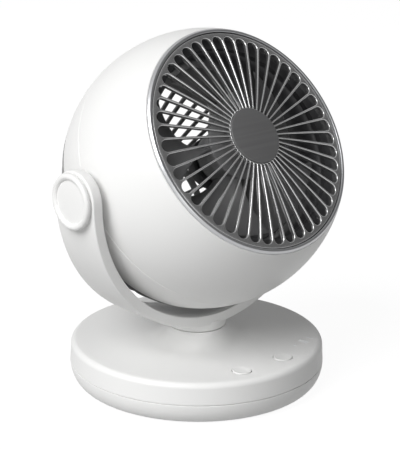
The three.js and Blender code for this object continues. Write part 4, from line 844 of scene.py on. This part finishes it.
# ---- Rear shell -------------------------------------------------------------------------------------
# The short rear half of the ball in the same white plastic. Four screws from behind hold it to the front
# half, and both clamp the pivot hubs.
seam_rear = -31.5
rear_outline = softened([
    (float(ball_radius(-seam_half)), -seam_half, seam_rounding), *ball_rows(-1, seam_rear + 0.6, 30),
    (float(ball_radius(seam_rear)), seam_rear, 0.4), *ball_rows(seam_rear, -0.05, 12, head_wall)])
add_piece("shell_rear", on_head(turned(rear_outline, 256)), white_plastic, "head",
          ["rear_shell"])
dress({plated_steel: [f"shell_screw_{i}" for i in (1, 2, 3, 4)]})

# ---- Trim ring --------------------------------------------------------------------------------------
# A satin silver ring pressed into the shell's mouth. It has a narrow flat face with a fine chamfer outside,
# and a thin sleeve that runs down round the grille.
satin_silver = finish_material("satin_silver", (0.47, 0.475, 0.485), 0.26, spread=0.1, grain=2600, bump=0.06,
                               tone=14, drop=0.05, metallic=0.85)
ring_outline = softened([(77.3, 53.3, 0), (78.1, 53.3, 0), (78.1, 59.9, 0.15), (80.3, 59.9, 0.1),
                         (80.15, 60.7, 0.25), (79, 62, 0.35), (77.3, 62, 0.4)])
add_piece("silver_ring", on_head(turned(ring_outline, 288)), satin_silver, "head",
          ["trim_ring"])

# ---- Front grille -----------------------------------------------------------------------------------
# One dark moulding with a glossy face: 45 long slots leave thin shallow ribs with rounded fronts, on a low
# dome with a round recess for the badge plate. The thin flange behind them, with a hole over each duct
# screw, is a duller piece of its own.
dark_plastic = finish_material("dark_satin_plastic", (0.45, 0.45, 0.452), 0.18, spread=0.08, grain=1500,
                               bump=0.04, tone=10, drop=0.12, metallic=0.85, specular=1.0, coat=0.8)
slot_count = 45
slot_pitch = 2 * math.pi / slot_count
slot_phase = math.radians(2)
slot_inner, slot_outer = 20.95, 69.8
slot_inner_half, slot_outer_half = 0.95, 4.0
rib_rounding = 0.85
grille_radius = 76.7
grille_crown = 67
grille_dome = 510
grille_depth = 2.8
rim_radius = 74.8
recess_border, recess_radius = 19.8, 19.65
end_steps, side_steps, corner_steps = 12, 26, 3
flange_inner, flange_outer = 68.3, 75.2
spigot_outer, spigot_rear = 69.2, 50.6
flange_rear, flange_front = 53.3, 54.4
duct_screw_angles = np.radians([-59, 31, 121, 211])
duct_screw_circle = 72.3
flange_hole = 1.3
recess_floor = 64.65
centre_back, centre_back_radius = 62.4, 18.65


def border_line(hole, pitch, inner, outer, end, side, run):
    """The border of a cell between two rib middles, with a point for each point of the hole's line: along
    the sides at the hole point's own radius, and past each end first to the border radius, across, and
    back."""
    radius = np.hypot(hole[:, 0], hole[:, 1])
    angle = np.full(len(hole), -pitch / 2)
    angle[end:end + side] = pitch / 2
    steps = np.arange(end + 1)
    stops = [0, run, end - run, end]
    far = slice(0, end + 1)
    near = slice(end + side, 2 * end + side + 1)
    for part, limit, turn in ((far, outer, 1), (near, inner, -1)):
        first, last = radius[part][0], radius[part][-1]
        radius[part] = np.interp(steps, stops, [first, limit, limit, last])
        angle[part] = np.interp(steps, stops[1:3], [-turn * pitch / 2, turn * pitch / 2])
    return np.stack([radius * np.cos(angle), radius * np.sin(angle)], axis=1)


def spun(flat, angle):
    """Flat points turned about the axis."""
    return np.stack([flat[:, 0] * math.cos(angle) - flat[:, 1] * math.sin(angle),
                     flat[:, 0] * math.sin(angle) + flat[:, 1] * math.cos(angle)], axis=1)


def dome_height(radius):
    """Height of the grille's face: crown - r^2 / (2 R)."""
    return grille_crown - radius ** 2 / (2 * grille_dome)


def under_dome(x, y, below):
    """A point that far below the grille's face."""
    return np.stack([x, y, dome_height(np.hypot(x, y)) - below], axis=1)


far_turn = np.radians(np.linspace(-90, 90, end_steps + 1))
near_turn = np.radians(np.linspace(90, 270, end_steps + 1))
side_share = np.linspace(0, 1, side_steps + 1)[1:-1, None]
far_end = np.stack([slot_outer + slot_outer_half * np.cos(far_turn), slot_outer_half * np.sin(far_turn)], 1)
near_end = np.stack([slot_inner + slot_inner_half * np.cos(near_turn),
                     slot_inner_half * np.sin(near_turn)], 1)
slot_line = np.concatenate([far_end, far_end[-1] + (near_end[0] - far_end[-1]) * side_share,
                            near_end, near_end[-1] + (far_end[0] - near_end[-1]) * side_share])
slot_border = border_line(slot_line, slot_pitch, recess_border, rim_radius, end_steps, side_steps,
                          corner_steps)
rib_share = np.linalg.norm(slot_border - slot_line, axis=1)
rounding = np.minimum(rib_rounding, 0.94 * rib_share)
grille_parts = []
for k in range(slot_count):
    turn = slot_phase + slot_pitch * (k + 0.5)
    grille_parts.append(pierced(spun(slot_line, turn), spun(slot_border, turn), rounding, 0.3, grille_depth,
                                under_dome))
rim_angles = slot_phase + np.arange(slot_count * 6) * slot_pitch / 6
rim_line = softened([(rim_radius, dome_height(rim_radius), 0),
                     (grille_radius, dome_height(grille_radius), 0.6),
                     (grille_radius, flange_rear, 0.2), (rim_radius, flange_rear, 0),
                     (rim_radius, dome_height(rim_radius) - grille_depth, 0)])
grille_parts.append(turned(rim_line, angles=rim_angles, ring=False))
recess_line = [(recess_border, dome_height(recess_border)),
               (recess_radius, dome_height(recess_radius) - 0.05), (recess_radius, recess_floor),
               (0, recess_floor)]
grille_parts.append(turned(recess_line, angles=rim_angles, ring=False))
middle_back = [(recess_border, dome_height(recess_border) - grille_depth), (centre_back_radius, centre_back),
               (0, centre_back)]
grille_parts.append(turned(middle_back, angles=rim_angles, ring=False))
flange_radii = np.linspace(70.6, 74.2, 7)
flange_line = np.array([(flange_inner, spigot_rear), (flange_inner, flange_front),
                        *[(r, flange_front) for r in flange_radii], (flange_outer, flange_front),
                        (flange_outer, flange_rear), *[(r, flange_rear) for r in flange_radii[::-1]],
                        (spigot_outer, flange_rear), (spigot_outer, spigot_rear)])
hole_stations = [a + np.radians(np.linspace(-1.6, 1.6, 7)) for a in duct_screw_angles]
flange_angles = []
for stations in hole_stations:
    flange_angles += [stations, np.linspace(stations[-1], stations[0] + math.pi / 2, 31)[1:-1]]
flange_angles = np.concatenate(flange_angles)
flat_rows = (within(flange_line[:, 0], flange_radii[0], flange_radii[-1])
             & (np.abs(flange_line[:, 1] - np.roll(flange_line[:, 1], -1)) < 1e-6))
open_columns = np.any([within(flange_angles, stations[0], stations[-1]) for stations in hole_stations],
                      axis=0)
flange_parts = [turned(flange_line, angles=flange_angles, left_out=flat_rows[:, None] & open_columns[None])]


def below_flange(x, y, below):
    """A point that far behind the flange's front."""
    return np.stack([x, y, np.full(len(x), flange_front - below)], axis=1)


for angle, stations in zip(duct_screw_angles, hole_stations):
    flange_parts.append(round_hole(angle, duct_screw_circle, flange_hole, stations, flange_radii, 6, 0.2, 0.1,
                                   flange_front - flange_rear, below_flange))
add_piece("grille", on_head(joined(grille_parts)), dark_plastic, "head", ["front_grille"],
          sharp=50)
add_piece("grille_flange", on_head(joined(flange_parts)), black_plastic, "head",
          ["front_grille"])

# ---- Badge plate ------------------------------------------------------------------------------------
# A plain flat disc of dark metal-look plastic, finely brushed in one direction, glued into the grille's
# recess.
brushed_dark = finish_material("brushed_dark_disc", (0.17, 0.17, 0.172), 0.4, spread=0.16, grain=5, bump=0.12,
                               tone=1.4, drop=0.4, metallic=0.25, stretch=(0.25, 0.004, 0.004),
                               turn=math.pi / 2 - rest_tilt)
plate_outline = softened([(0, 64.9, 0), (19.35, 64.9, 0.2), (19.35, 67.5, 0.35), (0, 67.5, 0)])
add_piece("middle_disc", on_head(turned(plate_outline, 144, ring=False)), brushed_dark, "head",
          ["hub_cap"])

# ---- Air duct ---------------------------------------------------------------------------------------
# A short dark tube round the blades, with a flared mouth against the ledge. Four lugs in front take the
# screws from the ledge, and three behind carry the motor bracket.
duct_radius = 65.5
lug_end = 74
bracket_angles = np.radians([30, 150, 270])
duct_rear, duct_front = 20, 50.2
duct_flare = 9
flare_width = seat_inner - duct_radius
duct_outline = softened([
    (duct_radius, duct_rear, 0.3),
    *ellipse_arc((seat_inner, duct_front - duct_flare), (flare_width, duct_flare), 180, 90, 14),
    (71.3, duct_front, 0.3), (71.3, 48.4, 0.3), (68.9, 47.5, 1), (67.3, 43, 1), (67.3, duct_rear, 0.3)])


def lug(inner, outer, half_width, bottom, top, angle, edge=0.5):
    """A rounded block that reaches out from the duct at an angle: a squarish column laid between two
    radii."""
    middle = (inner + outer) / 2
    spot = (middle * math.cos(angle), middle * math.sin(angle))
    return upright_bar(spot, ((outer - inner) / 2, half_width), 8, angle, bottom, top, edge)


duct_parts = [turned(duct_outline, 216)]
duct_parts += [lug(69.7, 77, 5, 45.7, 50.2, angle) for angle in duct_screw_angles]
duct_parts += [lug(66.3, lug_end, 5, duct_rear, 26, angle) for angle in bracket_angles]
add_piece("duct", on_head(joined(duct_parts)), black_plastic, "head", ["air_duct"])
dress({plated_steel: [f"duct_screw_{i}" for i in (1, 2, 3, 4)]})

# ---- Motor bracket ----------------------------------------------------------------------------------
# A dark plastic cup that holds the motor, with three flat arms out to the lugs on the back of the duct.
bracket_rear, bracket_front = 11.7, 19.7
cup_radius, cup_bore, cup_hole, cup_floor = 18, 14.8, 5.5, 13.7
cup_outline = softened([
    (cup_hole, bracket_rear, 0.3), (cup_radius, bracket_rear, 0.8), (cup_radius, bracket_front, 0.4),
    (cup_bore, bracket_front, 0.3), (cup_bore, cup_floor, 0), (cup_hole, cup_floor, 0.2)])
bracket_parts = [turned(cup_outline, 96)]
for angle in bracket_angles:
    bracket_parts.append(lug(17, lug_end, 3, bracket_rear, bracket_front, angle, 0.7))
    bracket_parts.append(lug(duct_radius, lug_end, 5, bracket_rear, bracket_front, angle, 0.7))
add_piece("bracket", on_head(joined(bracket_parts)), black_plastic, "head", ["motor_bracket"])

# ---- Motor ------------------------------------------------------------------------------------------
# A small motor in a pressed can with a steel shaft on two bearings. Its CAD shapes are kept.
dress({zinc: ["motor_housing", "motor_end_cap", "motor_stator"],
       plated_steel: ["motor_bearing_rear", "motor_bearing_front", "motor_shaft", "motor_rotor",
                      "impeller_nut"]})

# ---- Impeller ---------------------------------------------------------------------------------------
# Five broad curved blades on a hollow hub, one dark moulding, held on the shaft by a nut.
shade_plastic = finish_material("inner_dark_plastic", (0.13, 0.13, 0.132), 0.45, spread=0.1, grain=1200,
                                bump=0.15, drop=0.12)
blade_count = 5
blade_tip = 62.5
blade_front, blade_rear = 48, 24
blade_thickness = 1.6
first_angle = 124
front_sweep, rear_sweep = 0.55, 0.94
tip_arc = 78
hub_heights = np.array([24, 34, 40, 47.4])
hub_radii = np.array([17.6, 18, 19.5, 24])


def blade(turn):
    """One blade. u goes from the hub to the tip and s from the front edge to the rear edge. The radius
    grows evenly with u and the height falls evenly with s, while the angle goes from the front edge's
    angle, which falls back inwards, to the rear edge's. Both faces stand off along the surface's normal,
    thinner towards the free edges."""
    near = np.array([0, 0.012, 0.03])
    u = np.concatenate([np.linspace(0, 0.95, 24), 1 - near[::-1]])[:, None]
    s = np.concatenate([near, np.linspace(0.05, 0.95, 28), 1 - near[::-1]])[None, :]
    z = blade_front + (blade_rear - blade_front) * s
    root = np.interp(np.minimum(z, hub_heights[-1]), hub_heights, hub_radii) - 0.8
    radius = root + (blade_tip - root) * u
    inward = blade_tip - radius
    front = first_angle - front_sweep * inward
    rear = first_angle - tip_arc + rear_sweep * inward
    angle = np.radians(front + (rear - front) * s) + turn
    height = np.broadcast_to(z, radius.shape)
    middle = np.stack([radius * np.cos(angle), radius * np.sin(angle), height], axis=2)
    normal = np.cross(np.gradient(middle, axis=0), np.gradient(middle, axis=1))
    normal /= np.linalg.norm(normal, axis=2, keepdims=True)
    to_edge = np.minimum(np.minimum(s, 1 - s) * 60, (1 - u) * 44) / (blade_thickness / 2)
    half = blade_thickness / 2 * np.sqrt(1 - (1 - np.clip(to_edge, 0, 1)) ** 2)
    rows, columns = radius.shape
    faces = grid_faces(rows, columns).reshape(-1, 4)
    points = np.concatenate([(middle + normal * half[..., None]).reshape(-1, 3),
                             (middle - normal * half[..., None]).reshape(-1, 3)])
    root_line = np.arange(columns)
    count = rows * columns
    closing = np.stack([root_line[:-1], root_line[1:], root_line[1:] + count, root_line[:-1] + count], axis=1)
    return points, np.concatenate([faces, faces[:, ::-1] + count, closing])


hub_line = softened([
    (2.3, 50, 0.2), (14.4, 49.6, 4), (24, 47.4, 1.2), (19.5, 40, 4), (18, 34, 3), (17.6, 24, 0.4),
    (16, 24, 0.3), (16.4, 34, 0), (17.9, 40, 0), (20.8, 45.8, 0), (6, 47.4, 0), (6, 40.5, 0), (2.3, 40.5, 0)])
rotor_parts = [turned(hub_line, 120)]
rotor_parts += [blade(2 * math.pi * k / blade_count) for k in range(blade_count)]
add_piece("fan_wheel", on_head(joined(rotor_parts)), shade_plastic, "rotor", ["impeller"])

# ---- Rear grille ------------------------------------------------------------------------------------
# The inlet grille carries the ball's shape round to the back: 52 short ribs, a middle ring, 13 inner
# ribs and a closed round centre. A spigot inside holds it in the rear shell. Its mid grey is partly its
# own colour and partly painted shade, for the shade that falls on the ribs' inner faces inside the ball.
# Painted shade: a mid grey, darker than the white shell, so the ribs look as shaded as the inside of the
# ball.
grey_plastic_with_painted_shade = finish_material("grey_satin_plastic_painted_shade", (0.24, 0.24, 0.243), 0.4, grain=1300, bump=0.1,
                               tone=8, drop=0.1)
inlet_ribs = 52
inlet_phase = math.radians(4.3)
inlet_thickness = 3
rib_half = 1.3
ring_middle = 56.0
outer_border = 85.2
window_outer = float(ball_radius(-34)) - 1.3
plate_border = 27.0
inlet_corner = 0.9


def behind_ball(x, y, below):
    """A point on the ball's back, moved inwards along the surface's normal by below."""
    radius = np.hypot(x, y)
    share = np.sqrt(1 - (radius / head_radius) ** 2)
    normal = np.stack([x / head_radius ** 2, y / head_radius ** 2, -share / head_half_length], axis=1)
    normal /= np.linalg.norm(normal, axis=1, keepdims=True)
    below = np.broadcast_to(below, len(x))[:, None]
    return np.stack([x, y, head_centre - head_half_length * share], axis=1) - normal * below


def window_line(inner, outer, pitch, end, side, run):
    """A window between two straight ribs, with rounded corners. Each end runs round one corner, along its
    circle and round the other corner, and the sides keep half a rib's width from the rib's middle line."""
    def half_angle(radius):
        return pitch / 2 - np.arcsin(rib_half / radius)

    def end_points(radius, inwards):
        level_angle = half_angle(radius) - inlet_corner / radius
        low = radius + inwards * inlet_corner
        s = np.linspace(0, 1, run + 1)[:-1]
        leg_angle, corner_angle = half_angle(low), half_angle(radius)
        angle = (1 - s) ** 2 * leg_angle + 2 * s * (1 - s) * corner_angle + s ** 2 * level_angle
        reach = (1 - s) ** 2 * low + 2 * s * (1 - s) * radius + s ** 2 * radius
        middle_angles = np.linspace(-level_angle, level_angle, end - 2 * run + 1)
        angles = np.concatenate([-angle, middle_angles, angle[::-1]])
        reaches = np.concatenate([reach, np.full(len(middle_angles), radius), reach[::-1]])
        return angles, reaches

    far_angles, far_reach = end_points(outer, -1)
    near_angles, near_reach = end_points(inner, 1)
    side_reach = np.linspace(far_reach[-1], near_reach[0], side + 1)[1:-1]
    angles = np.concatenate([far_angles, half_angle(side_reach), -near_angles, -half_angle(side_reach[::-1])])
    reach = np.concatenate([far_reach, side_reach, near_reach, side_reach[::-1]])
    return np.stack([reach * np.cos(angles), reach * np.sin(angles)], axis=1)


rear_parts = []
for count, inner, outer, border_in, border_out, end, run in (
        (inlet_ribs, 58.0, window_outer, ring_middle, outer_border, 8, 2),
        (inlet_ribs // 4, 29.0, 54.0, plate_border, ring_middle, 20, 2)):
    pitch = 2 * math.pi / count
    opening = window_line(inner, outer, pitch, end, 10, run)
    edge_line = border_line(opening, pitch, border_in, border_out, end, 10, run)
    for k in range(count):
        turn = inlet_phase + pitch * (k + 0.5)
        rear_parts.append(pierced(spun(opening, turn), spun(edge_line, turn), 0.5, 0.4,
                                  inlet_thickness, behind_ball))
rear_angles = inlet_phase + np.arange(inlet_ribs * 4) * 2 * math.pi / (inlet_ribs * 4)


def ball_back(radius, below=0.0):
    """Radius and height of a point on the ball's back, or that far inside it."""
    x, _, z = behind_ball(np.array([float(radius)]), np.array([0.0]), below)[0]
    return x, z


rear_start = seam_rear - 0.3
start_radius = float(ball_radius(rear_start))
spigot = float(ball_radius(seam_rear, head_wall)) - 0.6
collar = [(*ball_back(outer_border), 0), (start_radius, rear_start, 0.4), (spigot, rear_start, 0),
          (spigot, rear_start + 6, 0.3), (spigot - head_wall, rear_start + 6, 0.3),
          (spigot - head_wall, rear_start - 1, 0), (*ball_back(outer_border, inlet_thickness), 0)]
rear_parts.append(turned(softened(collar), angles=rear_angles, ring=False))
for below in (0, inlet_thickness):
    plate_rows = [ball_back(r, below) for r in np.linspace(plate_border, 0, 10)]
    rear_parts.append(turned(plate_rows, angles=rear_angles, ring=False))
add_piece("inlet_grille", on_head(joined(rear_parts)), grey_plastic_with_painted_shade, "head",
          ["rear_grille"], sharp=50)
